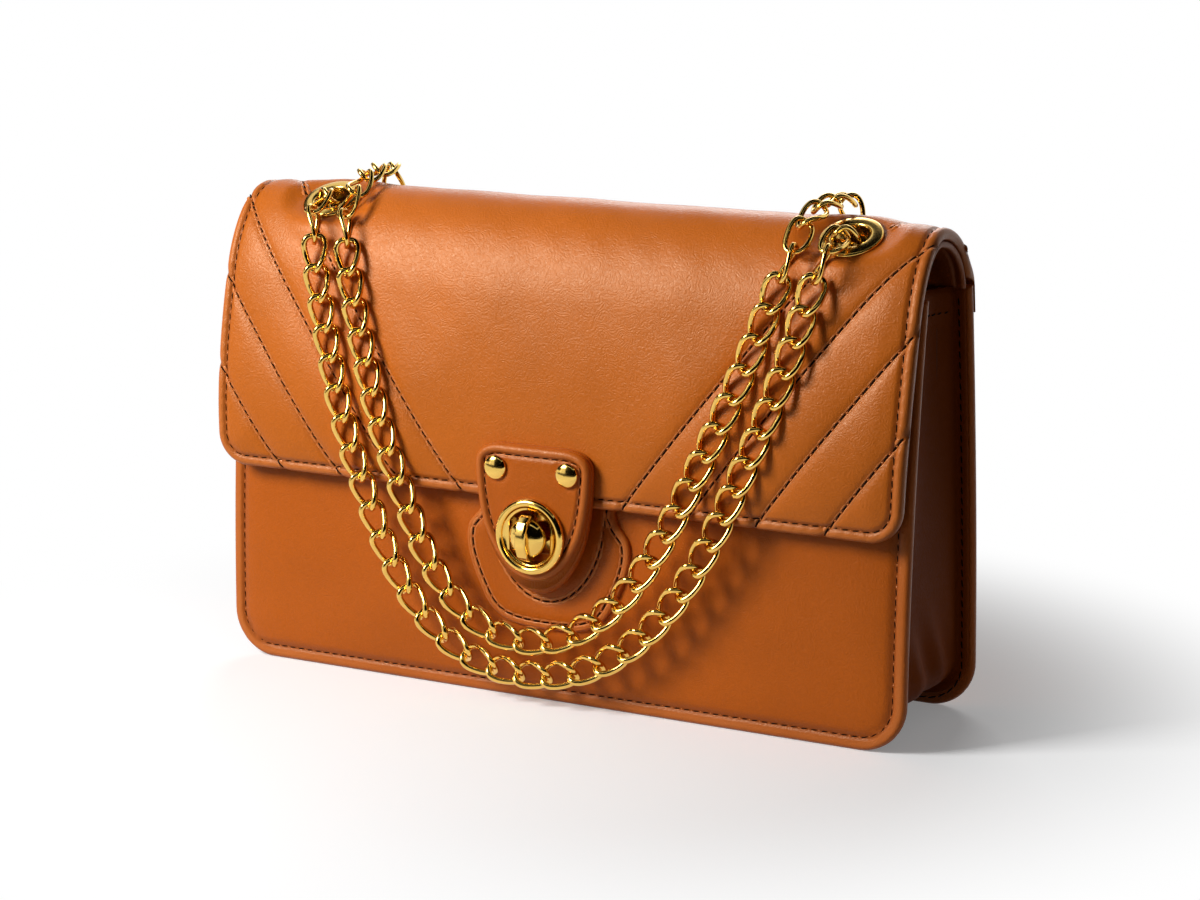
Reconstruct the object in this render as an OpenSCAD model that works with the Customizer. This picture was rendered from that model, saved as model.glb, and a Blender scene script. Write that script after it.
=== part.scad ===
// Leather shoulder bag with a chevron flap, a turn lock and a doubled curb chain.
// Millimetres. +X runs along the bag, the front faces -Y and +Z is up.
// The origin lies on the floor, under the middle of the whole bag.

/* [Body] */
// Width of the bag across the front and back panels
body_w = 255; // [235:1:280]
// Depth of the bag at the floor, over both panels
base_d = 61; // [50:1:72]
// Height of the panels, up to the seam that the flap folds on
body_h = 143; // [136:1:150]
// How far the front panel leans back at its top
front_lean = 9.9; // [5:0.1:11]
// How far the back panel leans forward at its top
back_lean = 11.5; // [8:0.5:14]
// Radius of the panels' lower corners
corner_r = 16; // [10:1:24]
// Thickness of a padded leather panel with its turned edge
panel_t = 3.4; // [2.6:0.1:4.2]
// Thickness of the stiffening boards behind the panels
board_t = 1.2; // [0.8:0.1:1.6]
// Thickness of the lining's walls
lining_t = 0.8; // [0.6:0.1:1.2]
// Thickness of the gusset's leather
gusset_t = 2.2; // [1.6:0.1:2.6]
// How far the panels stand out past the gusset at the sides
gusset_inset = 5; // [4:0.5:7]
// Height of the gusset's underside over the floor
gusset_rise = 8; // [6:0.5:10]

/* [Flap] */
// How far the ridge stands over the panels' top
ridge_rise = 21; // [17:0.5:27]
// Height of the flap's lower edge over the middle of the turn lock
flap_edge_over = 10; // [3:1:19]
// How far the flap's face stands in front of the front panel at its lower edge
flap_stand = 6.5; // [6.2:0.1:9]
// Thickness of the flap's outer leather
flap_t = 3.8; // [3:0.1:4]
// Thickness of the flap's lining leather
flap_lining_t = 2.2; // [1.6:0.1:2.3]
// Radius of the flap's lower corners
flap_corner_r = 11; // [6:1:18]
// Distance from the middle to the first chevron line at the flap's edge
chevron_first = 29.4; // [25:0.2:34]
// Distance between chevron lines along the flap's edge
chevron_step = 23.8; // [18:0.2:30]
// Number of chevron lines on each side
chevron_lines = 4; // [2:1:5]
// Angle of the chevron lines from upright
chevron_angle = 37.5; // [25:0.5:42]

/* [Lock] */
// Width of the lock tab at its widest
tab_w = 42.8; // [38:0.2:46]
// How far the lock tab laps up over the flap's lower edge
tab_lap = 19.6; // [17:0.2:25]
// Height of the middle of the turn lock over the floor
lock_h = 59; // [57:0.5:61]
// Outer diameter of the lock ring
ring_d = 25.5; // [24.6:0.1:28]
// Length of the turn knob's grip
knob_l = 15.8; // [14:0.1:16]
// Diameter of the turn knob's dome
knob_d = 13.2; // [11:0.1:14]
// Diameter of the rivet heads
rivet_d = 8.2; // [6:0.1:9]
// Distance between the two rivets
rivet_gap = 26.7; // [22:0.1:28]
// Width of the shield patch under the lock
patch_w = 61; // [52:1:70]
// Thickness of the shield patch
patch_t = 1.5; // [1:0.1:1.6]

/* [Chain strap] */
// Outer length of a chain link
link_l = 14.26; // [12.5:0.02:15.5]
// Outer width of a chain link
link_w = 9; // [8:0.1:9.6]
// Diameter of the chain's wire
wire_d = 1.76; // [1.4:0.02:2]
// Number of links in the outer strand
outer_links = 37; // [34:1:38]
// Number of links in the inner strand
inner_links = 33; // [31:1:35]
// Distance between the two front grommets
front_grommet_span = 193; // [188:1:200]
// How far inside the front grommets the rear ones lie
rear_grommet_in = 7.5; // [6:0.1:9]
// How far inside the front grommets the outer strand's ends lie
outer_end_in = 1.2; // [0.8:0.1:1.6]
// How far inside the front grommets the inner strand's ends lie
inner_end_in = 13.5; // [13:0.1:15]
// Outer diameter of the grommets
grommet_d = 21; // [18:0.2:23]
// Diameter of the hole through a grommet
grommet_hole_d = 12.4; // [11.6:0.1:13.4]

/* [Hidden] */

// Gaps and overruns shared by the layers
ply_gap = 0.2;
seam_gap = 0.3;
cut_over = 1;
face_steps = 10;
arc_steps = 8;

// The panels lean by these powers of the height
front_lean_power = 2.2;
back_lean_power = 1.6;

// Layers behind a panel's face, counted from its outside
board_deep = panel_t + ply_gap;
washer_room = 1.8;
lining_deep = board_deep + board_t + washer_room;
pocket_deep = lining_deep + lining_t + ply_gap;
flange_inset = 1.5;
web_inner = gusset_inset + gusset_t;
inner_inset = web_inner + seam_gap;
gusset_top = body_h - seam_gap;
lining_top = body_h - gusset_t;
gusset_corner_r = corner_r - gusset_inset;
inner_corner_r = gusset_corner_r - gusset_t;
base_board_t = 1.8;
base_board_low = gusset_rise + gusset_t + ply_gap;
lining_low = base_board_low + base_board_t + ply_gap;
pocket_w = 112;
pocket_low = 58;
pocket_top = 120;

// The flap's section: four stations joined by three curves
ridge_y = -6;
shoulder_out = 0.5;
ridge_h = body_h + ridge_rise;
shoulder_drop = 9;
shoulder_h = body_h - shoulder_drop;
flap_edge_h = lock_h + flap_edge_over;
hinge_y = base_d / 2 - back_lean;
flap_stations = [
  [-base_d / 2 - flap_stand, flap_edge_h],
  [-base_d / 2 + shoulder_out, shoulder_h],
  [ridge_y, ridge_h],
  [hinge_y, body_h]
];
flap_bend_shares = [
  [[-0.286, 0.354], [0.357, 0.677]],
  [[0.125, 0.467], [0.458, 0.983]],
  [[0.4, 0], [0.912, 0.333]]
];
flap_all_t = flap_t + flap_lining_t + ply_gap;
lining_shy = 1;
channel_w = 1.2;
channel_deep = 0.5;

// The lock tab: half outlines as shares of half its width and of its height
tab_top_h = flap_edge_h + tab_lap;
tab_face_low = 43.7;
tab_back_low = 38.5;
tab_back_y = -base_d / 2 - flap_stand - 0.8;
tab_t = 4.6;
tab_split = 1.9;
tab_edge_in = 0.9;
tab_edge_deep = 1.1;
tab_shares = [
  [[0.58, 1], [0.86, 0.99], [1.01, 0.94], [1, 0.83]],
  [[1, 0.83], [0.99, 0.63], [0.91, 0.41], [0.785, 0.3]],
  [[0.785, 0.3], [0.61, 0.13], [0.35, 0], [0, 0]]
];
rivet_h = tab_top_h - 7.9;
rivet_dome = 1.7;
rivet_shank_r = 1.4;
rivet_cap_t = 0.8;
rivet_cap_r = 3.4;
rivet_fit = 0.2;

// The shield patch: half outline as shares of half its width and of its height
patch_low = 25.2;
patch_top = tab_top_h - 4.6;
patch_shares = [
  [[0, 0], [0.39, 0], [0.62, 0.015], [0.77, 0.14]],
  [[0.77, 0.14], [0.87, 0.235], [1.065, 0.42], [0.993, 0.55]],
  [[0.993, 0.55], [0.96, 0.61], [0.816, 0.626], [0.81, 0.73]]
];

// The turn lock, forward from the patch to the knob
plate_t = 1.2;
plate_r = 8.5;
post_r = 3.6;
tail_r = 2;
shaft_r = 1.5;
shaft_fit = 0.08;
shaft_l = 7;
washer_t = 0.8;
washer_r = 5;
ring_plate_t = 0.9;
ring_rim_t = 1.7;
ring_band = 2.2;
ring_soft = 0.6;
ring_gap = 0.1;
knob_gap = 0.4;
knob_deep = 6.4;
knob_grip_t = 4;
knob_grip_fullness = 0.75;
knob_dome_t = 4.8;
knob_skirt_t = 0.8;
ring_hole_r = 9.8;
ring_hole_half_w = 7.5;
ring_hole_drop = 0.4;
tab_hole_r = 10.6;
tab_hole_drop = 1.5;
backing_hole_r = 12;
backing_hole_drop = 2;
back_plate_r = 14.8;
back_plate_t = 0.6;
plate_back_y = front_y(lock_h - plate_r) - patch_t - 2 * ply_gap;
tab_face_y = tab_back_y - tab_t;
ring_back_y = tab_face_y - ring_gap;
knob_back_y = ring_back_y - ring_plate_t - knob_gap;

// Grommets: places along the flap's section, and how far the front pair is levelled
rear_grommet_span = front_grommet_span - 2 * rear_grommet_in;
front_grommet_share = 1.76;
rear_grommet_share = 2.55;
front_seat_angle = 5.5;
grommet_flange_t = 1.4;
grommet_barrel_t = 1;
grommet_sink = 1.6;
grommet_soft = 0.4;
grommet_fit = 0.15;
grommet_washer_t = 1;
grommet_washer_r = 8.3;
grommet_washer_deep = 5;
grommet_well_r = 9.2;

// The chain: half sizes of a link's centre line, and the pitch
wire_r = wire_d / 2;
link_a = link_l / 2 - wire_r;
link_b = link_w / 2 - wire_r;
link_play = 0.5;
pitch = 2 * link_a - wire_d - link_play;
link_twist_angle = 45;
link_rings = 12;
link_sides = 5;
link_fullness = 0.7;
end_roll_angle = 90 - link_twist_angle / 2;
strap_shift = 2.5;
outer_span = front_grommet_span - 2 * outer_end_in;
inner_span = front_grommet_span - 2 * inner_end_in;
strap_sway = 7.5;
strap_lift = 3;
strand_end_share = 1.5;
end_slant = 3;
end_reach = pitch + wire_r / 2;
end_lean_angle = 21;
settle_tries = 10;
outer_end_lift = 7.2;
inner_end_lift = 6;
lift_from_h = 112;
outer_drop_guess = 136;
inner_drop_guess = 124;
outer_strand_shares = [
  [[0, 0], [0.33, 0], [0.52, 0.15], [0.642, 0.31]],
  [[0.642, 0.31], [0.755, 0.458], [0.925, 0.757], [1, 1]]
];
inner_strand_shares = [
  [[0, 0], [0.245, 0], [0.42, 0.117], [0.528, 0.236]],
  [[0.528, 0.236], [0.669, 0.4], [0.882, 0.725], [1, 1]]
];
strand_steps = 16;

// The fixed chains: place on the flap's section, depth under its face as a share of a
// link, share of the way out from the inner strand's end to the front grommet, and sag
return_links = 10;
return_slack = 0.6;
return_pitch = pitch - return_slack;
outer_end_share = 1 - outer_end_in / inner_end_in;
return_shares = [
  [strand_end_share, -outer_end_lift / link_l, outer_end_share, 0],
  [1.688, -0.238, outer_end_share, 0],
  [1.764, 0.391, 1.081, 0],
  [2.162, 0.836, 0.815, 1],
  [2.488, 0.547, 0.474, 0],
  [2.514, -0.13, 0.326, 0],
  [2.334, -0.56, 0.222, 0],
  [2.108, -0.416, 0.17, 0],
  [1.896, -0.381, 0.111, 0],
  [1.7, -0.398, 0, 0],
  [strand_end_share, -inner_end_lift / link_l, 0, 0]
];

// Middle of the whole bag's depth, which the frame's origin lies under
frame_y = (-(knob_back_y - knob_deep) - base_d / 2) / 2;

// A point on a cubic curve through p[0] and p[3]
function cubic(p, s) =
  pow(1 - s, 3) * p[0] + 3 * pow(1 - s, 2) * s * p[1]
  + 3 * (1 - s) * s * s * p[2] + pow(s, 3) * p[3];

// The direction of that curve
function cubic_way(p, s) =
  3 * pow(1 - s, 2) * (p[1] - p[0]) + 6 * (1 - s) * s * (p[2] - p[1])
  + 3 * s * s * (p[3] - p[2]);

// A point between two, by a share along each axis
function between(p, q, share) = [
  p[0] + (q[0] - p[0]) * share[0],
  p[1] + (q[1] - p[1]) * share[1]
];

// Outer face of each panel at height z, deeper in by d
function front_y(z, d = 0) = -base_d / 2 + d + front_lean * pow(max(z, 0) / body_h, front_lean_power);
function back_y(z, d = 0) = base_d / 2 - d - back_lean * pow(max(z, 0) / body_h, back_lean_power);

// The flap's section at t, which runs from 0 at its edge over the ridge to 3 at the seam
function flap_curve(i) = [
  flap_stations[i],
  between(flap_stations[i], flap_stations[i + 1], flap_bend_shares[i][0]),
  between(flap_stations[i], flap_stations[i + 1], flap_bend_shares[i][1]),
  flap_stations[i + 1]
];
function flap_piece(t) = min(floor(t), 2);
function flap_point(t) = cubic(flap_curve(flap_piece(t)), t - flap_piece(t));
function flap_way(t) = cubic_way(flap_curve(flap_piece(t)), t - flap_piece(t));

// Angle of the flap's outward normal from straight up, positive towards the front
function flap_tilt(t) = atan2(flap_way(t)[1], flap_way(t)[0]);

// A point d inside the flap's outer face
function flap_at(t, d = 0) = flap_point(t) + d * [sin(flap_tilt(t)), -cos(flap_tilt(t))];

// An outline open at its top, with round lower corners, as points in x and z
function tray(half_w, low, top, r) = concat(
  [[half_w, top]],
  [for (i = [0:arc_steps]) let (a = -90 * i / arc_steps)
    [half_w - r + r * cos(a), low + r + r * sin(a)]],
  [for (i = [0:arc_steps]) let (a = -90 - 90 * i / arc_steps)
    [-half_w + r + r * cos(a), low + r + r * sin(a)]],
  [[-half_w, top]]
);

// Points along a chain of curves given as shares of a half width and a height
function share_points(curves, half_w, low, high, steps) = [
  for (c = [0:len(curves) - 1]) for (i = [0:steps - 1])
    let (p = cubic(curves[c], i / steps)) [p[0] * half_w, low + p[1] * (high - low)]
];
function mirrored(points) = concat(
  points,
  [for (i = [len(points) - 1:-1:0]) if (points[i][0] > 0) [-points[i][0], points[i][1]]]
);

// A solid from points in y and z, run along X over a width
module along_x(points, w) {
  rotate([90, 0, 90])
    linear_extrude(height = w, center = true)
      polygon(points);
}

// A solid from points in x and z, run from depth y0 to y1
module along_y(points, y0, y1) {
  translate([0, y1, 0])
    rotate([90, 0, 0])
      linear_extrude(height = y1 - y0)
        polygon(points);
}

// The space between two depths behind the front panel's face, or the back panel's
module front_ply(d0, d1, low, top) {
  steps = [for (i = [0:face_steps]) low + (top - low) * i / face_steps];
  along_x(
    concat(
      [for (z = steps) [front_y(z, d0), z]],
      [for (i = [face_steps:-1:0]) [front_y(steps[i], d1), steps[i]]]
    ),
    2 * body_w
  );
}
module back_ply(d0, d1, low, top) {
  steps = [for (i = [0:face_steps]) low + (top - low) * i / face_steps];
  along_x(
    concat(
      [for (z = steps) [back_y(z, d0), z]],
      [for (i = [face_steps:-1:0]) [back_y(steps[i], d1), steps[i]]]
    ),
    2 * body_w
  );
}

// The space between both panels, deeper than d
module inside_space(d, low, top) {
  steps = [for (i = [0:face_steps]) low + (top - low) * i / face_steps];
  along_x(
    concat(
      [for (z = steps) [front_y(z, d), z]],
      [for (i = [face_steps:-1:0]) [back_y(steps[i], d), steps[i]]]
    ),
    2 * body_w
  );
}

// A tray outline run through the whole depth
module through_tray(inset, low, top, r) {
  along_y(tray(body_w / 2 - inset, low, top, r), -base_d, base_d);
}

// Everything is drawn about the middle of the base and then set in the frame
module in_frame() {
  translate([0, frame_y, 0])
    children();
}

// A solid turned about an axis that points at the front, with height measured forward
module facing_front(y, z) {
  translate([0, y, z])
    rotate([90, 0, 0])
      children();
}

// A round bar through the front of the bag, for rivet and post holes
module front_hole(x, z, r, y0, y1) {
  translate([x, y1, z])
    rotate([90, 0, 0])
      cylinder(h = y1 - y0, r = r, $fn = 48);
}

// Body

module front_panel() {
  color("#b8642a")
    in_frame()
      difference() {
        intersection() {
          front_ply(0, panel_t, 0, body_h);
          through_tray(0, 0, body_h, corner_r);
        }
        front_hole(0, lock_h, tail_r + rivet_fit, -base_d, 0);
      }
}

module back_panel() {
  color("#b05c26")
    in_frame()
      intersection() {
        back_ply(0, panel_t, 0, body_h);
        through_tray(0, 0, body_h, corner_r);
      }
}

// A U-shaped strip with a flange sewn to each panel
module gusset() {
  color("#7a3f1c")
    in_frame()
      difference() {
        union() {
          intersection() {
            inside_space(board_deep, 0, gusset_top);
            through_tray(gusset_inset, gusset_rise, gusset_top, gusset_corner_r);
          }
          intersection() {
            union() {
              front_ply(board_deep, board_deep + gusset_t, 0, gusset_top);
              back_ply(board_deep, board_deep + gusset_t, 0, gusset_top);
            }
            through_tray(flange_inset, flange_inset, gusset_top, corner_r - flange_inset);
          }
        }
        through_tray(web_inner, gusset_rise + gusset_t, gusset_top + cut_over, inner_corner_r);
      }
}

module front_board() {
  color("#c9b08a")
    in_frame()
      difference() {
        intersection() {
          front_ply(board_deep, board_deep + board_t, lining_low, lining_top);
          through_tray(inner_inset, lining_low, lining_top, inner_corner_r);
        }
        front_hole(0, lock_h, tail_r + rivet_fit, -base_d, 0);
      }
}

module back_board() {
  color("#c9b08a")
    in_frame()
      intersection() {
        back_ply(board_deep, board_deep + board_t, lining_low, lining_top);
        through_tray(inner_inset, lining_low, lining_top, inner_corner_r);
      }
}

module base_board() {
  half = body_w / 2 - web_inner - inner_corner_r;
  color("#c9b08a")
    in_frame()
      intersection() {
        inside_space(board_deep + ply_gap, base_board_low, base_board_low + base_board_t);
        translate([-half, -base_d, 0])
          cube([2 * half, 2 * base_d, body_h]);
      }
}

// A bag of lining cloth, open at the top
module lining() {
  color("#3a2a22")
    in_frame()
      difference() {
        intersection() {
          inside_space(lining_deep, 0, lining_top);
          through_tray(inner_inset, lining_low, lining_top, inner_corner_r);
        }
        intersection() {
          inside_space(lining_deep + lining_t, 0, body_h);
          through_tray(inner_inset + lining_t, lining_low + lining_t, body_h, inner_corner_r - lining_t);
        }
      }
}

module lining_pocket() {
  color("#4a362c")
    in_frame()
      intersection() {
        back_ply(pocket_deep, pocket_deep + lining_t, pocket_low, pocket_top);
        along_y(tray(pocket_w / 2, pocket_low, pocket_top, corner_r / 2), 0, base_d);
      }
}

module shield_patch() {
  half = share_points(patch_shares, patch_w / 2, patch_low, patch_top, arc_steps);
  side = cubic(patch_shares[2], 1)[0] * patch_w / 2;
  color("#b46028")
    in_frame()
      difference() {
        intersection() {
          front_ply(-patch_t - ply_gap / 2, -ply_gap / 2, patch_low, patch_top);
          along_y(mirrored(concat(half, [[side, patch_top]])), -base_d, 0);
        }
        front_hole(0, lock_h, tail_r + rivet_fit, -base_d, 0);
      }
}

// Turn lock

// Base plate, hollow post and the tail that runs back through the panel
module lock_base() {
  tail_end_y = front_y(lock_h, lining_deep) - ply_gap;
  tail_l = tail_end_y - plate_back_y;
  post_l = plate_back_y - knob_back_y - ply_gap;
  bore_r = shaft_r + shaft_fit;
  color("#caa23c")
    in_frame()
      facing_front(plate_back_y, lock_h)
        rotate_extrude($fn = 96)
          polygon([
            [0, -tail_l],
            [tail_r, -tail_l],
            [tail_r, 0],
            [plate_r, 0],
            [plate_r, plate_t / 2],
            [plate_r - plate_t / 2, plate_t],
            [post_r, plate_t],
            [post_r, post_l],
            [bore_r, post_l],
            [bore_r, post_l - shaft_l - seam_gap],
            [0, post_l - shaft_l - seam_gap]
          ]);
}

module lock_washer() {
  color("#b89a4a")
    in_frame()
      facing_front(front_y(lock_h + washer_r, board_deep + board_t) + ply_gap + washer_t, lock_h)
        rotate_extrude($fn = 72)
          translate([tail_r + shaft_fit, 0])
            square([washer_r - tail_r - shaft_fit, washer_t]);
}

// Domed knob with an upright grip, and the shaft that turns in the post
module turn_knob() {
  grip = [for (i = [0:2 * arc_steps]) let (a = -90 + 180 * i / (2 * arc_steps))
    [-knob_deep * pow(max(cos(a), 0), knob_grip_fullness), knob_l / 2 * sin(a)]];
  dome = [for (i = [0:arc_steps]) let (a = 90 * i / arc_steps)
    [knob_d / 2 * cos(a), knob_skirt_t + (knob_dome_t - knob_skirt_t) * sin(a)]];
  color("#e3b94e")
    in_frame()
      union() {
        facing_front(knob_back_y, lock_h)
          rotate_extrude($fn = 96)
            polygon(concat(
              [[0, -shaft_l], [shaft_r, -shaft_l], [shaft_r, 0], [knob_d / 2, 0]],
              dome
            ));
        translate([0, knob_back_y, lock_h])
          along_x(grip, knob_grip_t);
      }
}

// A round hole flattened at both sides, lower than the lock's middle by drop
module lock_slot(r, half_w, drop, y0, y1) {
  translate([0, y1, lock_h])
    rotate([90, 0, 0])
      linear_extrude(height = y1 - y0)
        intersection() {
          translate([0, -drop])
            circle(r = r, $fn = 96);
          square([2 * half_w, 4 * r], center = true);
        }
}

module lock_ring() {
  rim_r = ring_d / 2;
  color("#dfb54a")
    in_frame()
      difference() {
        facing_front(ring_back_y, lock_h)
          rotate_extrude($fn = 96)
            polygon([
              [0, 0],
              [rim_r - ring_soft / 2, 0],
              [rim_r, ring_soft / 2],
              [rim_r - ring_soft / 4, ring_rim_t - ring_soft],
              [rim_r - ring_soft, ring_rim_t],
              [rim_r - ring_band, ring_rim_t],
              [rim_r - ring_band - ring_soft, ring_plate_t],
              [0, ring_plate_t]
            ]);
        lock_slot(ring_hole_r, ring_hole_half_w, ring_hole_drop, ring_back_y - 2 * ring_rim_t, ring_back_y + cut_over);
      }
}

// The lock tab's outline between its back, at share 0, and its face, at share 1
function tab_points(share, inset) =
  let (low = tab_back_low + (tab_face_low - tab_back_low) * share)
  mirrored(concat(
    [[0, tab_top_h - inset]],
    share_points(tab_shares, tab_w / 2 - inset, low + inset, tab_top_h - inset, arc_steps),
    [[0, low + inset]]
  ));

// A thin slice of the tab at a depth behind its face
module tab_slice(deep, thick, share, inset) {
  along_y(tab_points(share, inset), tab_face_y + deep, tab_face_y + deep + thick);
}

module tab_holes(r, half_w, drop) {
  lock_slot(r, half_w, drop, tab_face_y - cut_over, tab_back_y + cut_over);
  for (side = [-1, 1])
    front_hole(side * rivet_gap / 2, rivet_h, rivet_shank_r + rivet_fit, tab_face_y - cut_over, tab_back_y + cut_over);
}

module lock_tab() {
  front_t = tab_t - tab_split - ply_gap;
  slice = ply_gap;
  color("#ba662c")
    in_frame()
      difference() {
        hull() {
          tab_slice(0, slice, 1, tab_edge_in);
          tab_slice(tab_edge_deep, slice, 1 - tab_edge_deep / tab_t, 0);
          tab_slice(front_t - slice, slice, 1 - front_t / tab_t, 0);
        }
        tab_holes(tab_hole_r, ring_hole_half_w + rivet_fit, tab_hole_drop);
      }
}

module tab_backing() {
  slice = ply_gap;
  color("#8a4a22")
    in_frame()
      difference() {
        hull() {
          tab_slice(tab_t - tab_split, slice, tab_split / tab_t, 0);
          tab_slice(tab_t - slice, slice, 0, 0);
        }
        tab_holes(backing_hole_r, ring_hole_half_w + rivet_fit, backing_hole_drop);
        facing_front(tab_face_y + tab_t - tab_split + back_plate_t + ply_gap, lock_h)
          cylinder(h = tab_split, r = back_plate_r + rivet_fit, $fn = 96);
      }
}

// Plate behind the tab's leather that the ring's prongs are bent over
module ring_back_plate() {
  back_y0 = tab_face_y + tab_t - tab_split + ply_gap / 2;
  color("#a8873c")
    in_frame()
      difference() {
        facing_front(back_y0 + back_plate_t, lock_h)
          cylinder(h = back_plate_t, r = back_plate_r, $fn = 96);
        lock_slot(backing_hole_r, ring_hole_half_w + rivet_fit, backing_hole_drop, back_y0 - cut_over, back_y0 + 2 * cut_over);
      }
}

// Domed heads with shanks through the tab and the flap
module tab_rivets() {
  inner_y = flap_at(rivet_share(), flap_all_t)[0];
  shank_l = inner_y - tab_face_y + rivet_cap_t;
  head = [for (i = [0:arc_steps]) let (a = 90 * i / arc_steps)
    [rivet_d / 2 * cos(a), ring_gap + rivet_dome * sin(a)]];
  color("#dcb148")
    in_frame()
      for (side = [-1, 1])
        translate([side * rivet_gap / 2, 0, 0])
          facing_front(tab_face_y, rivet_h)
            rotate_extrude($fn = 64)
              polygon(concat(
                [[0, -shank_l], [rivet_shank_r, -shank_l], [rivet_shank_r, ring_gap]],
                head
              ));
}

module rivet_caps() {
  inner_y = flap_at(rivet_share(), flap_all_t)[0];
  color("#b89a4a")
    in_frame()
      for (side = [-1, 1])
        translate([side * rivet_gap / 2, 0, 0])
          facing_front(inner_y + ply_gap + rivet_cap_t, rivet_h)
            rotate_extrude($fn = 64)
              translate([rivet_shank_r + shaft_fit, 0])
                square([rivet_cap_r - rivet_shank_r - shaft_fit, rivet_cap_t]);
}

// Where on the flap's section the rivets lie
function rivet_share() = (rivet_h - flap_edge_h) / (shoulder_h - flap_edge_h);

// Flap

// Points along the flap's section, d inside its face
function flap_line(d, t0, t1) = [
  for (i = [0:round((t1 - t0) * face_steps)]) flap_at(t0 + i / face_steps, d)
];
function reversed(list) = [for (i = [len(list) - 1:-1:0]) list[i]];

// The flap's thickness from d0 to d1, cut square over the seam
module flap_band(d0, d1, t0, t1) {
  difference() {
    along_x(concat(flap_line(d0, t0, t1), reversed(flap_line(d1, t0, t1))), 2 * body_w);
    translate([-body_w, 0, 0])
      cube([2 * body_w, base_d, body_h + seam_gap]);
  }
}

// Grommet pairs as their span, place on the flap's section and how far they are levelled
front_pair = [front_grommet_span, front_grommet_share, front_seat_angle];
rear_pair = [rear_grommet_span, rear_grommet_share, 0];
module at_grommet(pair, side) {
  p = flap_at(pair[1], grommet_sink);
  translate([side * pair[0] / 2 + strap_shift, p[0], p[1]])
    rotate([flap_tilt(pair[1]) - pair[2], 0, 0])
      children();
}

// Holes for the grommets' barrels, with a flat seat pressed round each
module grommet_cuts(hole_r) {
  for (side = [-1, 1])
    for (pair = [front_pair, rear_pair])
      at_grommet(pair, side) {
        translate([0, 0, -2 * grommet_washer_deep])
          cylinder(h = 3 * grommet_washer_deep, r = hole_r, $fn = 72);
        translate([0, 0, -ply_gap / 2])
          cylinder(h = grommet_washer_deep, r = grommet_d / 2 + rivet_fit, $fn = 72);
      }
}

// Sewn channels that run up and out from the flap's edge
module chevron_channels() {
  long = ridge_h;
  intersection() {
    flap_band(-cut_over, channel_deep, 0, 2);
    for (side = [-1, 1])
      for (i = [0:chevron_lines - 1])
        translate([side * (chevron_first + i * chevron_step), 0, flap_edge_h])
          rotate([0, side * chevron_angle, 0])
            translate([-channel_w / 2, -base_d, -long / 4])
              cube([channel_w, base_d, long]);
  }
}

module flap_leather() {
  color("#ba662c")
    in_frame()
      difference() {
        intersection() {
          flap_band(0, flap_t, 0, 3);
          through_tray(0, flap_edge_h, 2 * body_h, flap_corner_r);
        }
        chevron_channels();
        grommet_cuts(grommet_hole_d / 2 + grommet_barrel_t + grommet_fit);
        for (side = [-1, 1])
          front_hole(side * rivet_gap / 2, rivet_h, rivet_shank_r + rivet_fit, -base_d, 0);
      }
}

module flap_lining() {
  color("#a85724")
    in_frame()
      difference() {
        intersection() {
          flap_band(flap_t + ply_gap, flap_all_t, 0, 3);
          through_tray(lining_shy, flap_edge_h + lining_shy, 2 * body_h, flap_corner_r);
        }
        grommet_cuts(grommet_well_r);
        for (side = [-1, 1])
          front_hole(side * rivet_gap / 2, rivet_h, rivet_shank_r + rivet_fit, -base_d, 0);
      }
}

// Grommets

// A flat flange with soft edges and the barrel through the flap
module grommet() {
  hole_r = grommet_hole_d / 2;
  rim_r = grommet_d / 2;
  color("#dcb148")
    rotate_extrude($fn = 72)
      polygon([
        [hole_r, -grommet_washer_deep - grommet_washer_t],
        [hole_r + grommet_barrel_t, -grommet_washer_deep - grommet_washer_t],
        [hole_r + grommet_barrel_t, 0],
        [rim_r - grommet_soft / 2, 0],
        [rim_r, grommet_soft],
        [rim_r - grommet_soft, grommet_flange_t - grommet_soft / 2],
        [rim_r - 2 * grommet_soft, grommet_flange_t],
        [hole_r + grommet_soft, grommet_flange_t],
        [hole_r, grommet_flange_t - grommet_soft]
      ]);
}

module front_grommets() {
  in_frame()
    for (side = [-1, 1])
      at_grommet(front_pair, side)
        grommet();
}

module rear_grommets() {
  in_frame()
    for (side = [-1, 1])
      at_grommet(rear_pair, side)
        grommet();
}

module grommet_washers() {
  inner_r = grommet_hole_d / 2 + grommet_barrel_t + shaft_fit;
  color("#b89a4a")
    in_frame()
      for (side = [-1, 1])
        for (pair = [front_pair, rear_pair])
          at_grommet(pair, side)
            translate([0, 0, -grommet_washer_deep - grommet_washer_t])
              rotate_extrude($fn = 72)
                translate([inner_r, 0])
                  square([grommet_washer_r - inner_r, grommet_washer_t]);
}

// Chain

function unit(v) = v / norm(v);
function without(v, t) = v - (v * t) * t;

// Centre line of a curb link at angle a: a full oval whose plane turns from end to end
function fuller(v) = sign(v) * pow(abs(v), link_fullness);
function link_centre(a, twist) =
  let (
    w = link_b * fuller(sin(a)),
    turn = twist * fuller(cos(a))
  )
  [w * cos(turn), w * sin(turn), link_a * fuller(cos(a))];

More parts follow.
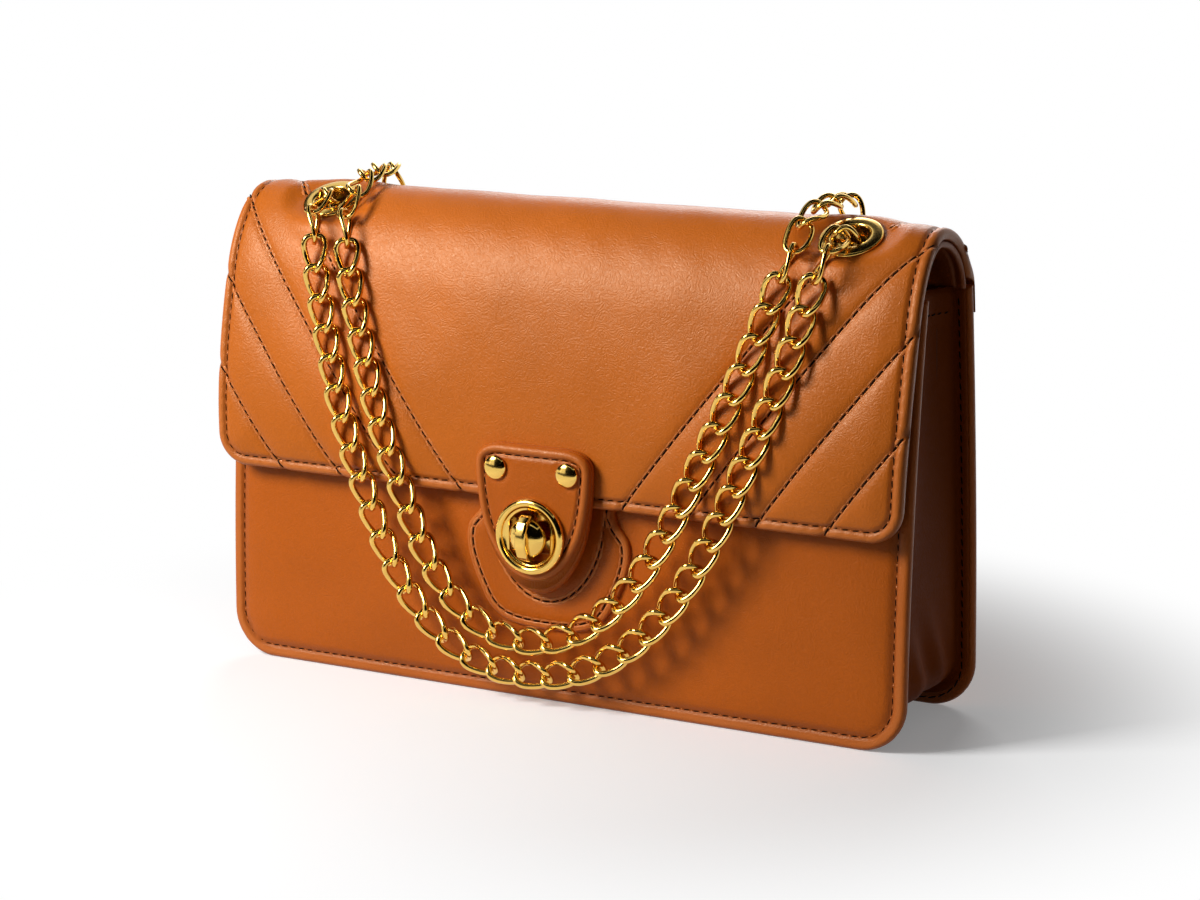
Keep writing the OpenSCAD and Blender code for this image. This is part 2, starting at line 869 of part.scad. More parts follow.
// The ring of points round the wire there
function link_ring(a, twist) =
  let (
    t = unit(link_centre(a + 1, twist) - link_centre(a - 1, twist)),
    turn = twist * cos(a),
    out = [sin(a) / link_b * cos(turn), sin(a) / link_b * sin(turn), cos(a) / link_a],
    u = unit(without(out, t)),
    v = cross(t, u)
  )
  [for (j = [0:link_sides - 1]) let (b = 360 * j / link_sides)
    link_centre(a, twist) + wire_r * (cos(b) * u + sin(b) * v)];
function link_mesh(twist) = [
  for (i = [0:link_rings - 1]) each link_ring(360 * (i + 0.5) / link_rings, twist)
];
curb_points = link_mesh(link_twist_angle);
end_points = link_mesh(link_twist_angle / 2);
back_points = link_mesh(-link_twist_angle / 2);
link_faces = [
  for (i = [0:link_rings - 1]) for (j = [0:link_sides - 1])
    let (
      k = (i + 1) % link_rings,
      m = (j + 1) % link_sides,
      p = i * link_sides + j,
      q = i * link_sides + m,
      r = k * link_sides + m,
      s = k * link_sides + j
    )
    each [[p, s, q], [q, s, r]]
];

// A link from point p to point q, its flat side rolled about its length from the direction side
module link(p, q, side, roll, points = curb_points) {
  t = unit(q - p);
  w = unit(without(side, t));
  n = cross(t, w);
  u = cos(roll) * w + sin(roll) * n;
  v = cross(t, u);
  c = (p + q) / 2;
  multmatrix([
    [u[0], v[0], t[0], c[0]],
    [u[1], v[1], t[1], c[1]],
    [u[2], v[2], t[2], c[2]],
    [0, 0, 0, 1]
  ])
    polyhedron(points = points, faces = link_faces);
}

// Walks along a route in straight steps of one pitch, and gives the points passed
function next_hit(route, from, i, step) =
  i >= len(route) ? len(route) - 1 : norm(route[i] - from) >= step ? i : next_hit(route, from, i + 1, step);
function on_segment(from, p, q, step) =
  let (
    d = q - p,
    m = p - from,
    a = d * d,
    b = 2 * (m * d),
    c = m * m - step * step
  )
  p + d * (-b + sqrt(max(b * b - 4 * a * c, 0))) / (2 * a);
function walk(route, from, i, step, left) =
  left == 0 ? [from] :
  let (
    k = next_hit(route, from, i, step),
    p = on_segment(from, route[k - 1], route[k], step)
  )
  concat([from], walk(route, p, k, step, left - 1));

// The point where a strand hangs from its fixed chain, beside the flap's shoulder,
// and the point below it where the straight end link has ended
function strand_end(lift) = flap_at(strand_end_share, -lift);
function strand_start(lift) = strand_end(lift) - end_reach * [sin(end_lean_angle), cos(end_lean_angle)];

// Depth of a strand at height z: off the flap's face, and straight down below its edge
face_table = [
  for (i = [0:2 * face_steps - 2]) let (p = flap_at(i / face_steps, -strap_lift)) [p[1], p[0]]
];
function strand_y(z, lift) =
  let (
    start = strand_start(lift),
    rise = max(0, (z - lift_from_h) / (start[1] - lift_from_h)),
    off = start[0] - lookup(start[1], face_table)
  )
  lookup(z, face_table) + off * rise;

// Half of a strand's route, from the bottom up to its end at one side
function strand_half(curves, span, lift, drop, side) =
  let (
    end = strand_end(lift),
    start = strand_start(lift)
  )
  concat(
    [for (c = [0:len(curves) - 1]) for (i = [0:strand_steps - 1])
      let (
        p = cubic(curves[c], i / strand_steps),
        z = start[1] - drop * (1 - p[1])
      )
      [side * p[0] * (span / 2 - end_slant) + strap_shift - strap_sway * pow(1 - p[1], 2), strand_y(z, lift), z]],
    [
      [side * (span / 2 - end_slant) + strap_shift, start[0], start[1]],
      [side * span / 2 + strap_shift, end[0], end[1]]
    ]
  );
function strand_route(curves, span, lift, drop) =
  let (right = strand_half(curves, span, lift, drop, 1))
  concat(
    reversed(strand_half(curves, span, lift, drop, -1)),
    [for (i = [1:len(right) - 1]) right[i]]
  );

// How far a row of links runs past the end of its route
function overrun(route, links, step = pitch) =
  let (
    last = len(route) - 1,
    reach = walk(route, route[0], 1, step, links)[links]
  )
  (reach - route[last]) * unit(route[last] - route[last - 1]);

// The drop at which a strand's links end at its far pivot
function settled_drop(curves, span, lift, links, drop, tries) =
  tries == 0 ? drop :
  settled_drop(
    curves, span, lift, links,
    drop + overrun(strand_route(curves, span, lift, drop), links) / 2,
    tries - 1
  );

// A swinging strand's end links stand on edge at the pivots, where they hook square
// through a fixed link, and turn back half a twist to lie flat like the rest
module strand(curves, span, lift, links, drop) {
  route = strand_route(curves, span, lift, drop);
  points = walk(route, route[0], 1, pitch, links);
  for (i = [0:links - 1]) {
    side = cross(unit(points[i + 1] - points[i]), [0, -1, 0]);
    if (i == 0)
      link(points[i], points[i + 1], side, end_roll_angle, back_points);
    else if (i == links - 1)
      link(points[i], points[i + 1], side, -end_roll_angle, back_points);
    else
      link(points[i], points[i + 1], side, 0);
  }
}

module chain_outer() {
  drop = settled_drop(outer_strand_shares, outer_span, outer_end_lift, outer_links, outer_drop_guess, settle_tries);
  color("#e8c050")
    in_frame()
      strand(outer_strand_shares, outer_span, outer_end_lift, outer_links, drop);
}

module chain_inner() {
  drop = settled_drop(inner_strand_shares, inner_span, inner_end_lift, inner_links, inner_drop_guess, settle_tries);
  color("#e8c050")
    in_frame()
      strand(inner_strand_shares, inner_span, inner_end_lift, inner_links, drop);
}

// A fixed chain's route from the outer strand's end through the front grommet, under
// the ridge, out of the rear grommet and back over the ridge to the inner strand's end
function return_route(sag) = [
  for (k = return_shares)
    let (p = flap_at(k[0], k[1] * link_l + sag * k[3]))
    [inner_span / 2 + k[2] * inner_end_in + strap_shift, p[0], p[1]]
];
function settled_sag(sag, tries) =
  tries == 0 ? sag :
  settled_sag(sag + overrun(return_route(sag), return_links, return_pitch) / 3, tries - 1);

module right_return() {
  route = return_route(settled_sag(0, settle_tries));
  points = walk(route, route[0], 1, return_pitch, return_links);
  for (i = [0:return_links - 1])
    if (i == 0)
      link(points[i], points[i + 1], [1, 0, 0], link_twist_angle / 2, end_points);
    else if (i == return_links - 1)
      link(points[i], points[i + 1], [1, 0, 0], -link_twist_angle / 2, end_points);
    else
      link(points[i], points[i + 1], [1, 0, 0], 0);
}

module chain_return_left() {
  color("#e8c050")
    in_frame()
      translate([2 * strap_shift, 0, 0])
        mirror([1, 0, 0])
          right_return();
}

module chain_return_right() {
  color("#e8c050")
    in_frame()
      right_return();
}

front_panel();
back_panel();
gusset();
front_board();
back_board();
base_board();
lining();
lining_pocket();
shield_patch();
lock_base();
lock_washer();
turn_knob();
flap_leather();
flap_lining();
lock_tab();
tab_backing();
ring_back_plate();
lock_ring();
tab_rivets();
rivet_caps();
front_grommets();
rear_grommets();
grommet_washers();
chain_return_left();
chain_return_right();
chain_outer();
chain_inner();
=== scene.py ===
from math import cos, pi, radians, sin

import bmesh
import bpy
import numpy as np
from bpy.props import FloatProperty, FloatVectorProperty, PointerProperty
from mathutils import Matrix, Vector


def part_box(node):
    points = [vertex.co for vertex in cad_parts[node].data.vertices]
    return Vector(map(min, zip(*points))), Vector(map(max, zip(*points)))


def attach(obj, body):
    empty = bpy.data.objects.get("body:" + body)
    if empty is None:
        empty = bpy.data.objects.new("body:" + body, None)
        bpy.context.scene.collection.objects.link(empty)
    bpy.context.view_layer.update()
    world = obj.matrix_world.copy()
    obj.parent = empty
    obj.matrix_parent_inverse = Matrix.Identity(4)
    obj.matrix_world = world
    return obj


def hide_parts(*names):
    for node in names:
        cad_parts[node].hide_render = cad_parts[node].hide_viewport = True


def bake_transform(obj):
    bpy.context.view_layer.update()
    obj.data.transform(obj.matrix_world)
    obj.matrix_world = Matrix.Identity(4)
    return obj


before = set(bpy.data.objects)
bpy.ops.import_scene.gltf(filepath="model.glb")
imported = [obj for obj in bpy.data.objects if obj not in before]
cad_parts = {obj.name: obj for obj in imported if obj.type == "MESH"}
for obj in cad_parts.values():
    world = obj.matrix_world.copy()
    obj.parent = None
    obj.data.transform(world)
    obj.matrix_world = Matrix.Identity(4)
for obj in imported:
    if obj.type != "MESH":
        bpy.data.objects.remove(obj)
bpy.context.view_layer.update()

bl_info = {
    "name": "Chain shoulder bag",
    "version": (1, 0, 0),
    "blender": (4, 5, 0),
    "location": "3D View > Sidebar > Bag",
    "description": "Sews, quilts and plates a leather chain shoulder bag round its packed frame",
    "category": "Object",
}

# Making is in millimetres about the middle of the bag's base, with the front facing -Y.
MM = 0.001


def node_box(node):
    """A CAD node's lowest and highest corners at rest."""
    low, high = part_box(node)
    return np.array(low) / MM, np.array(high) / MM


FRONT_LOW, FRONT_HIGH = node_box("front_panel")
BACK_HIGH = node_box("back_panel")[1]
BODY_W = FRONT_HIGH[0] - FRONT_LOW[0]
BODY_H = FRONT_HIGH[2]
BASE_D = BACK_HIGH[1] - FRONT_LOW[1]
FRAME_Y = (BACK_HIGH[1] + FRONT_LOW[1]) / 2

# Panels, gusset and lining: _T is a thickness, _R a radius, _SEAM a seam's distance from the edge
FRONT_LEAN = 9.9
FRONT_LEAN_POWER = 2.2
BACK_LEAN = 11.5
BACK_LEAN_POWER = 1.6
CORNER_R = 16
PANEL_T = 3.4
PANEL_WAVE = {"length": 46, "front": 0.35, "back": 0.15}
PANEL_SEAM = 4.4
PANEL_ROLL_R = 1.7
PANEL_STEP = 2.2
BOARD_DEEP = 3.6
GUSSET_T = 2.2
GUSSET_INSET = 5
GUSSET_RISE = 8
FLANGE_INSET = 1.5
GUSSET_BEND = 1.2
HEM_T = 0.5
PLEAT_Z = 22
PLEAT_DEEP = 1.3
LINING_DEEP = 6.6
LINING_T = 0.8
LINING_INSET = 7.5
LINING_LOW = 12.4
LINING_TOP = 140.8
LINING_COUNT = 160
LINING_BASE_SHARES = (0.8, 0.4, 0.02)
POCKET = {"width": 112, "low": 58, "top": 120, "deep": 7.6, "thick": 0.8}

# The flap's section: four stations joined by three curves, with bends as shares between them
HINGE_Y = BASE_D / 2 - BACK_LEAN
FLAP_LOW = 69
FLAP_STATIONS = ((-37, FLAP_LOW), (-30, 134), (-6, 164), (HINGE_Y, BODY_H))
FLAP_BEND_SHARES = (
    ((-0.286, 0.354), (0.357, 0.677)),
    ((0.125, 0.467), (0.458, 0.983)),
    ((0.4, 0), (0.912, 0.333)),
)
FLAP_T = 3.8
FLAP_ALL_T = 6.2
FLAP_CORNER_R = 11
FLAP_SEAM = 3.7
FLAP_ROLL_R = 1.9
FLAP_LAP = 9
LAP_T = 1.5
LAP_OVER_BACK = 8
LAP_SEAM = 3.7
# Where the flap's leather bends, as depth and height from its hinge
BEND_START = (0.9, -1.4)
BEND_END = (-3.1, 1.1)
CURVE_STEPS = 120
FLAP_STEP = 1.15
FLAP_LINING_STEP = 2.0
CHEVRON_FIRST = 29.4
CHEVRON_STEP = 23.8
CHEVRON_LINES = 4
CHEVRON_ANGLE = radians(37.5)
CHEVRON_SINK = 0.7

# Lock tab and shield patch: half outlines as shares of half their width and of their height
TAB_W = 42.8
TAB_TOP = 88.6
TAB_FACE_LOW = 43.7
TAB_BACK_LOW = 38.5
TAB_FACE_Y = -42.4
TAB_T = 4.6
TAB_FRONT_T = 2.5
TAB_SEAM = 3.3
TAB_ROLL_R = 1.9
TAB_HOLE_R = 10.6
TAB_BACK_HOLE_R = 12
TAB_SHARES = (
    ((0, 1), (0.2, 1), (0.4, 1), (0.58, 1)),
    ((0.58, 1), (0.86, 0.99), (1.01, 0.94), (1, 0.83)),
    ((1, 0.83), (0.99, 0.63), (0.91, 0.41), (0.785, 0.3)),
    ((0.785, 0.3), (0.61, 0.13), (0.35, 0), (0, 0)),
)
PATCH_W = 61
PATCH_TOP = 84
PATCH_LOW = 25.2
PATCH_T = 1.5
PATCH_SEAM = 2.6
PATCH_HOLE_R = 2.4
PATCH_INNER_SHARES = (
    ((0.715, 0.74), (0.715, 0.6), (0.66, 0.46), (0.52, 0.34)),
    ((0.52, 0.34), (0.38, 0.225), (0.2, 0.165), (0, 0.165)),
)
PATCH_SHARES = (
    ((0, 1), (0.3, 1), (0.6, 1), (0.81, 1)),
    ((0.81, 1), (0.81, 0.9), (0.81, 0.8), (0.81, 0.73)),
    ((0.81, 0.73), (0.816, 0.626), (0.96, 0.61), (0.993, 0.55)),
    ((0.993, 0.55), (1.065, 0.42), (0.87, 0.235), (0.77, 0.14)),
    ((0.77, 0.14), (0.62, 0.015), (0.39, 0), (0, 0)),
)

# Sewing: the sunk row of stitches, the padding inside it, and the leather rolled up beside it
SEAM_SINK = 0.75
PUCKER_PITCH = 4.1
PAD_RISE_W = 6
STITCH_LEAN = radians(7)
PUCKER_LEAN = STITCH_LEAN * 4
ROLL_R = 0.42
ROLL_OUT = 0.66
ROLL_SINK = 0.1
ROLL_SPREAD = 2.4
ROLL_SIDES = 8

# Lock, rivets and grommets
LOCK_H = 59
RING_R = 12.75
RING_BACK_Y = -42.5
RING_BAND = 3.0
RING_T = 2.2
RING_HOLE_R = 8.9
RING_HOLE_HALF = 7.5
RING_HOLE_DROP = 0.2
RING_COLLAR = 3.6
RING_FACE = 1.0
KNOB_BACK_Y = -43.8
KNOB_R = 6.6
KNOB_DOME = 4.1
KNOB_DEEP = 6.4
KNOB_GRIP_L = 15.8
KNOB_GRIP_T = 4.0
KNOB_FULLNESS = 0.75
KNOB_SHAFT = 7
KNOB_STEM_R = 1.5
# Degrees up the grip to its middle, close together at its rounded ends
GRIP_TURNS = [-90, -76, -74.5, -73, -49, -47, -45, -21, -19, -17, 0]
GRIP_SOFT = 0.55
GRIP_WAIST = 0.105
RIVET_R = 4.1
RIVET_H = 80.7
RIVET_HALF_GAP = 13.35
RIVET_DOME = 1.7
RIVET_STEM_R = 1.4
RIVET_STEM = 7
STRAP_SHIFT = 2.5
GROMMET_R = 10.5
GROMMET_HOLE_R = 6.2
GROMMET_SINK = 1.6
GROMMET_T = 1.4
GROMMET_BARREL = 5.6
SEAT_SINK = 0.1
SEAT_REACH = 9
GROMMET_PAIRS = (
    {"name": "front_grommet_pair", "node": "front_grommets", "span": 193, "place": 1.76, "level": 5.5},
    {"name": "rear_grommet_pair", "node": "rear_grommets", "span": 178, "place": 2.55, "level": 0},
)

# Chain
STRAND_LINK = {"half_l": 6.2, "half_w": 3.9, "fullness": 0.62, "wire_r": 1.05}
FIXED_LINK = {"half_l": 6.25, "half_w": 3.62, "fullness": 0.7, "wire_r": 0.84}
LINK_TWISTS = (45, 22.5, -22.5, -45)
TWIST_FULLNESS = 0.7
LINK_COUNT = 72
LINK_SIDES = 16
LINK_FLATTENING = 0.96
# Each chain's body and its link
CHAINS = {
    "chain_outer": ("strap_outer", STRAND_LINK),
    "chain_inner": ("strap_inner", STRAND_LINK),
    "chain_return_left": ("flap", FIXED_LINK),
    "chain_return_right": ("flap", FIXED_LINK),
}

# Finishes
LEATHER_TINT = (1, 0.75, 0.5, 1)
THREAD_TINT = (0.8, 0.4, 0.2, 1)

# Stage, in metres
WHITE = (1, 1, 1, 1)
QUARTERS = ((-1, -1), (1, -1), (1, 1), (-1, 1))
FLOOR_HALF = 6
FLOOR_SEEN = (0.92, 0.92, 0.92, 1)
FLOOR_UNSEEN = (0.4, 0.4, 0.4, 1)
FLOOR_LIFT = 0.19
FLOOR_FADE = (0.13, 0.26)
WORLD_LIGHT = 0.10
CARD_COLOUR = (0.015, 0.014, 0.01, 1)

# Camera, measured about the middle of the base
CAMERA_LENS = 90.95
CAMERA_SENSOR = 36
CAMERA_TARGET = (2.37, 0, 80.04)
CAMERA_DISTANCE = 1016.99
CAMERA_AZIMUTH = radians(28.765)
CAMERA_ELEVATION = radians(12.12)


class BagSizes(bpy.types.PropertyGroup):
    """Sizes of the sewing and the padding."""

    stitch: FloatProperty(
        name="Stitch", description="Length of a stitch",
        default=0.0029, unit="LENGTH",
    )
    stitch_gap: FloatProperty(
        name="Gap", description="Gap between stitches",
        default=0.0006, unit="LENGTH",
    )
    thread: FloatProperty(
        name="Thread", description="Width of the thread",
        default=0.0005, unit="LENGTH",
    )
    quilt: FloatProperty(
        name="Quilting", description="Rise of the flap between its seams",
        default=0.0008, unit="LENGTH",
    )
    panel_puff: FloatProperty(
        name="Panel", description="Rise of the panels inside their seams",
        default=0.0012, unit="LENGTH",
    )
    gusset_fold: FloatProperty(
        name="Gusset", description="Depth of the gusset's inward fold",
        default=0.0035, unit="LENGTH",
    )


class BagColours(bpy.types.PropertyGroup):
    """Colours of the leather, thread, cloth and metal."""

    leather: FloatVectorProperty(
        name="Leather", description="Colour of the leather",
        subtype="COLOR", default=(0.50, 0.102, 0.004),
    )
    # The flap's colour is paler and yellower than the panels' as painted light, for the stronger light and
    # sheen the flap catches
    flap: FloatVectorProperty(
        name="Flap", description="Colour of the flap's leather",
        subtype="COLOR", default=(0.56, 0.132, 0.010),
    )
    # Darker colour painted into folds, seam grooves and recesses as painted shade
    painted_shade: FloatVectorProperty(
        name="Painted shade", description="Colour in folds and seams",
        subtype="COLOR", default=(0.13, 0.022, 0.003),
    )
    # Paler colour of rubbed edges, also used as painted highlight on the puckers and rolls beside the seams
    worn_and_highlight: FloatVectorProperty(
        name="Worn edges and seam highlights", description="Colour where edges rub",
        subtype="COLOR", default=(0.64, 0.19, 0.045),
    )
    # The gusset's colour is darker than the panels' leather as painted shade, for the side turned away from
    # the light
    gusset: FloatVectorProperty(
        name="Gusset", description="Colour of the gusset's leather",
        subtype="COLOR", default=(0.28, 0.052, 0.003),
    )
    thread: FloatVectorProperty(
        name="Thread", description="Colour of the thread",
        subtype="COLOR", default=(0.014, 0.005, 0.003),
    )
    gold: FloatVectorProperty(
        name="Gold", description="Colour of the plating",
        subtype="COLOR", default=(0.84, 0.54, 0.13),
    )
    cloth: FloatVectorProperty(
        name="Lining", description="Colour of the lining cloth",
        subtype="COLOR", default=(0.045, 0.022, 0.014),
    )
    board: FloatVectorProperty(
        name="Board", description="Colour of the stiffening board",
        subtype="COLOR", default=(0.36, 0.25, 0.15),
    )


class BagFinish(bpy.types.PropertyGroup):
    """Grain and gloss."""

    grain: FloatProperty(
        name="Grain", description="Size of the leather's grain",
        default=0.0012, unit="LENGTH",
    )
    grain_deep: FloatProperty(
        name="Grain depth", description="Depth of the grain",
        default=0.00011, unit="LENGTH",
    )
    gloss: FloatProperty(
        name="Leather roughness", description="Roughness of the leather",
        default=0.36, min=0, max=1, subtype="FACTOR",
    )
    polish: FloatProperty(
        name="Metal roughness", description="Roughness of the plating",
        default=0.13, min=0, max=1, subtype="FACTOR",
    )


# Shapes


def front_y(z, deep=0):
    """Depth of the front panel's plain outer face at a height, or of a face deeper in."""
    return -BASE_D / 2 + deep + FRONT_LEAN * (np.maximum(z, 0) / BODY_H) ** FRONT_LEAN_POWER


def back_y(z, deep=0):
    """The same for the back panel."""
    return BASE_D / 2 - deep - BACK_LEAN * (np.maximum(z, 0) / BODY_H) ** BACK_LEAN_POWER


def smooth_step(start, end, value):
    """Goes smoothly from nothing at the start to one at the end."""
    share = np.clip((value - start) / (end - start), 0, 1)
    return share * share * (3 - 2 * share)


def dent(distance, width):
    """One at no distance, fading to nothing past the width."""
    return np.exp(-((distance / width) ** 2))


def edge_drop(distance, radius):
    """How far a face has dropped near an edge rounded to that radius."""
    inside = radius - np.clip(distance, 0, radius)
    return radius - np.sqrt(np.maximum(radius**2 - inside**2, 0))


def waves(a, b, size, seed):
    """Slow undulations between about -1 and 1, from five crossing ripples that the seed turns and shifts."""
    total = 0
    for k in range(5):
        turn = seed * 1.7 + k * 2.4
        way = (a * cos(turn) + b * sin(turn)) * 2 * pi / (size * (0.7 + 0.28 * k))
        total = total + np.sin(way + seed * 3.1 + k * 1.9) / (1 + 0.4 * k)
    return total / 3


def bezier(points, share):
    """Places on a curve of four points, at shares of its length."""
    p = [np.array(q, float) for q in points]
    s = np.asarray(share, float)[:, None]
    return (1 - s) ** 3 * p[0] + 3 * (1 - s) ** 2 * s * p[1] + 3 * (1 - s) * s**2 * p[2] + s**3 * p[3]


def flap_section():
    """The flap's outer face from its lower edge over the ridge and down past the hinge."""
    shares = np.linspace(0, 1, CURVE_STEPS, endpoint=False)
    curves = []
    for i, bends in enumerate(FLAP_BEND_SHARES):
        a = np.array(FLAP_STATIONS[i], float)
        b = np.array(FLAP_STATIONS[i + 1], float)
        curves.append(bezier([a, a + (b - a) * bends[0], a + (b - a) * bends[1], b], shares))
    below = np.linspace(BODY_H, BODY_H - FLAP_LAP - 2, 30)
    curves.append(np.stack([back_y(below), below], 1))
    line = np.concatenate(curves)
    run = np.concatenate([[0], np.cumsum(np.hypot(*np.diff(line, axis=0).T))])
    way = np.gradient(line, run, axis=0)
    return {
        "run": run,
        "y": line[:, 0],
        "z": line[:, 1],
        "tilt": np.unwrap(np.arctan2(way[:, 1], way[:, 0])),
        "ridge": run[2 * CURVE_STEPS],
        "hinge": run[3 * CURVE_STEPS],
    }


SECTION = flap_section()
FLAP_RUN = SECTION["hinge"] + FLAP_LAP


def flap_at(run, deep=0):
    """Depth, height and tilt of the flap's section, deeper in by deep."""
    y, z, tilt = (np.interp(run, SECTION["run"], SECTION[k]) for k in ("y", "z", "tilt"))
    return y + deep * np.sin(tilt), z - deep * np.cos(tilt), tilt


def section_run(place):
    """Run along the section at a place counted in stations."""
    return np.interp(place * CURVE_STEPS, np.arange(len(SECTION["run"])), SECTION["run"])


# Places near an edge, close enough together for its rounding and its seam
EDGE_STEPS = (0, 0.15, 0.4, 0.8, 1.3, 1.8, 2.4, 3.0, 3.5, 4.0, 4.6, 5.3)


def spread(length, step, start=True, end=True):
    """Places along a length, close together at its ends."""
    first = list(EDGE_STEPS) if start else [0]
    last = [length - e for e in reversed(EDGE_STEPS)] if end else [length]
    count = max(1, round((last[0] - first[-1]) / step))
    return np.array(first + list(np.linspace(first[-1], last[0], count + 1)[1:-1]) + last)


def tray_grid(half_w, heights, corner_r, step):
    """Places across and up an outline with round lower corners."""
    across = spread(2 * half_w, step) / half_w - 1
    short = np.clip(corner_r - heights, 0, corner_r)
    half = half_w - corner_r + np.sqrt(corner_r**2 - short**2)
    return half[:, None] * across[None, :], heights[:, None] + 0 * across[None, :]


def tray_distance(x, height, half_w, corner_r):
    """Distance in from such an outline."""
    across = half_w - np.abs(x)
    corner = corner_r - np.hypot(corner_r - across, corner_r - height)
    return np.where((across < corner_r) & (height < corner_r), corner, np.minimum(across, height))


def sewn_face(distance, seam, radius, puff, along):
    """Height of a face near a turned edge: a rolled bead, a row of stitches and the padding inside it."""
    bead = -edge_drop(distance, radius)
    row = -SEAM_SINK * dent(distance - seam, 0.7)
    pucker = 0.13 * np.cos(2 * pi * along / PUCKER_PITCH) * dent(distance - seam + 1.1, 0.8)
    pad = puff * (1 - np.exp(-np.maximum(distance - seam, 0) / PAD_RISE_W))
    return bead + row + pucker + pad


# Meshes


def to_frame(points):
    """Turns making places into the frame's metres."""
    return (np.asarray(points, float).reshape(-1, 3) + [0, FRAME_Y, 0]) * MM


def shell(outer, inner, keep=None):
    """Faces of a closed shell between two grids, without the cells that aren't kept."""
    rows, cols = outer.shape[:2]
    number = np.arange(rows * cols).reshape(rows, cols)
    under = rows * cols
    kept = np.zeros((rows + 1, cols + 1), bool)
    kept[1:-1, 1:-1] = True if keep is None else keep
    faces = []
    for r, c in zip(*np.nonzero(kept[1:-1, 1:-1])):
        a, b, d, e = number[r, c], number[r, c + 1], number[r + 1, c + 1], number[r + 1, c]
        faces += [(a, b, d, e), (a + under, e + under, d + under, b + under)]
        sides = (
            (a, b, kept[r, c + 1]),
            (b, d, kept[r + 1, c + 2]),
            (d, e, kept[r + 2, c + 1]),
            (e, a, kept[r + 1, c]),
        )
        for p, q, beside in sides:
            if not beside:
                faces.append((p, p + under, q + under, q))
    return np.concatenate([outer.reshape(-1, 3), inner.reshape(-1, 3)]), faces


def loops(grid, close_rows=False, caps=False):
    """Faces between rings of points, with the rings joined round or the two ends capped if asked."""
    rows, cols = grid.shape[:2]
    faces = []
    for r in range(rows if close_rows else rows - 1):
        for c in range(cols):
            d = (c + 1) % cols
            s = (r + 1) % rows
            faces.append((r * cols + c, r * cols + d, s * cols + d, s * cols + c))
    if caps:
        faces += [tuple(range(cols))[::-1], tuple(range((rows - 1) * cols, rows * cols))]
    return grid.reshape(-1, 3), faces


def lathe(profile, place, up, count=96):
    """A profile of radius and height turned about an axis."""
    up = np.array(up, float)
    side = np.array([1.0, 0, 0])
    back = np.cross(up, side)
    turns = np.linspace(0, 2 * pi, count, endpoint=False)
    ring = np.cos(turns)[:, None] * side + np.sin(turns)[:, None] * back
    return loops(np.array([np.array(place) + h * up + r * ring for r, h in profile]))


def join(*meshes):
    """Several meshes as one."""
    points, faces, base = [], [], 0
    for p, f in meshes:
        points.append(p)
        faces += [tuple(i + base for i in face) for face in f]
        base += len(p)
    return np.concatenate(points), faces


def path_lengths(path):
    """Distance along a path to each of its points."""
    return np.concatenate([[0], np.cumsum(np.linalg.norm(np.diff(path, axis=0), axis=1))])


def along_path(rows, steps, at):
    """A path's points or normals at distances along it."""
    return np.stack([np.interp(at, steps, rows[:, k]) for k in range(3)], -1)


def facing(way, path):
    """The same normal for every point of a path."""
    return np.tile(np.array(way, float), (len(path), 1))


def new_piece(name, mesh_data, materials, marks=None, indices=None):
    """A smooth object from points and faces, with its marks kept for its material."""
    points, faces = mesh_data
    mesh = bpy.data.meshes.new(name)
    mesh.from_pydata(to_frame(points).tolist(), [], faces)
    for key in ("painted_shade", "edge"):
        layer = mesh.attributes.new(key, "FLOAT", "POINT")
        if marks and key in marks:
            layer.data.foreach_set("value", np.asarray(marks[key], np.float32).ravel())
    place = mesh.attributes.new("place", "FLOAT_VECTOR", "POINT")
    place.data.foreach_set("vector", to_frame(points).astype(np.float32).ravel())
    if indices is not None:
        mesh.polygons.foreach_set("material_index", np.asarray(indices, np.int32))
    work = bmesh.new()
    work.from_mesh(mesh)
    bmesh.ops.delete(work, geom=[v for v in work.verts if not v.link_faces], context="VERTS")
    bmesh.ops.remove_doubles(work, verts=work.verts, dist=1e-7)
    bmesh.ops.recalc_face_normals(work, faces=work.faces)
    work.to_mesh(mesh)
    work.free()
    mesh.shade_smooth()
    piece = bpy.data.objects.new(name, mesh)
    bpy.context.scene.collection.objects.link(piece)
    for material in materials:
        mesh.materials.append(material)
    return piece


def two_sided_marks(painted_shade, edge):
    """Marks for a shell: those of its outer face, with its inner face left plain."""
    plain = np.zeros(painted_shade.size)
    return {"painted_shade": np.concatenate([painted_shade.ravel(), plain]), "edge": np.concatenate([edge.ravel(), plain])}


# Materials


def new_group(name, colours, numbers):
    """A shader node group with named inputs, which gives a colour, a roughness and a height."""
    group = bpy.data.node_groups.new(name, "ShaderNodeTree")
    for label in colours:
        group.interface.new_socket(label, in_out="INPUT", socket_type="NodeSocketColor")
    for label in numbers:
        group.interface.new_socket(label, in_out="INPUT", socket_type="NodeSocketFloat")
    group.interface.new_socket("Colour", in_out="OUTPUT", socket_type="NodeSocketColor")
    group.interface.new_socket("Roughness", in_out="OUTPUT", socket_type="NodeSocketFloat")
    group.interface.new_socket("Height", in_out="OUTPUT", socket_type="NodeSocketFloat")
    return group, group.nodes.new("NodeGroupInput").outputs


def close_group(group, colour, rough, height):
    """Links a group's results to its outputs."""
    made = group.nodes.new("NodeGroupOutput").inputs
    group.links.new(colour, made["Colour"])
    group.links.new(rough, made["Roughness"])
    group.links.new(height, made["Height"])
    return group


def node(tree, kind, links=None, **settings):
    """A node with its settings, and with values or other sockets put on its inputs."""
    made = tree.nodes.new(kind)
    for key, value in settings.items():
        setattr(made, key, value)
    for key, value in (links or {}).items():
        if isinstance(value, bpy.types.NodeSocket):
            tree.links.new(value, made.inputs[key])
        else:
            made.inputs[key].default_value = value
    return made


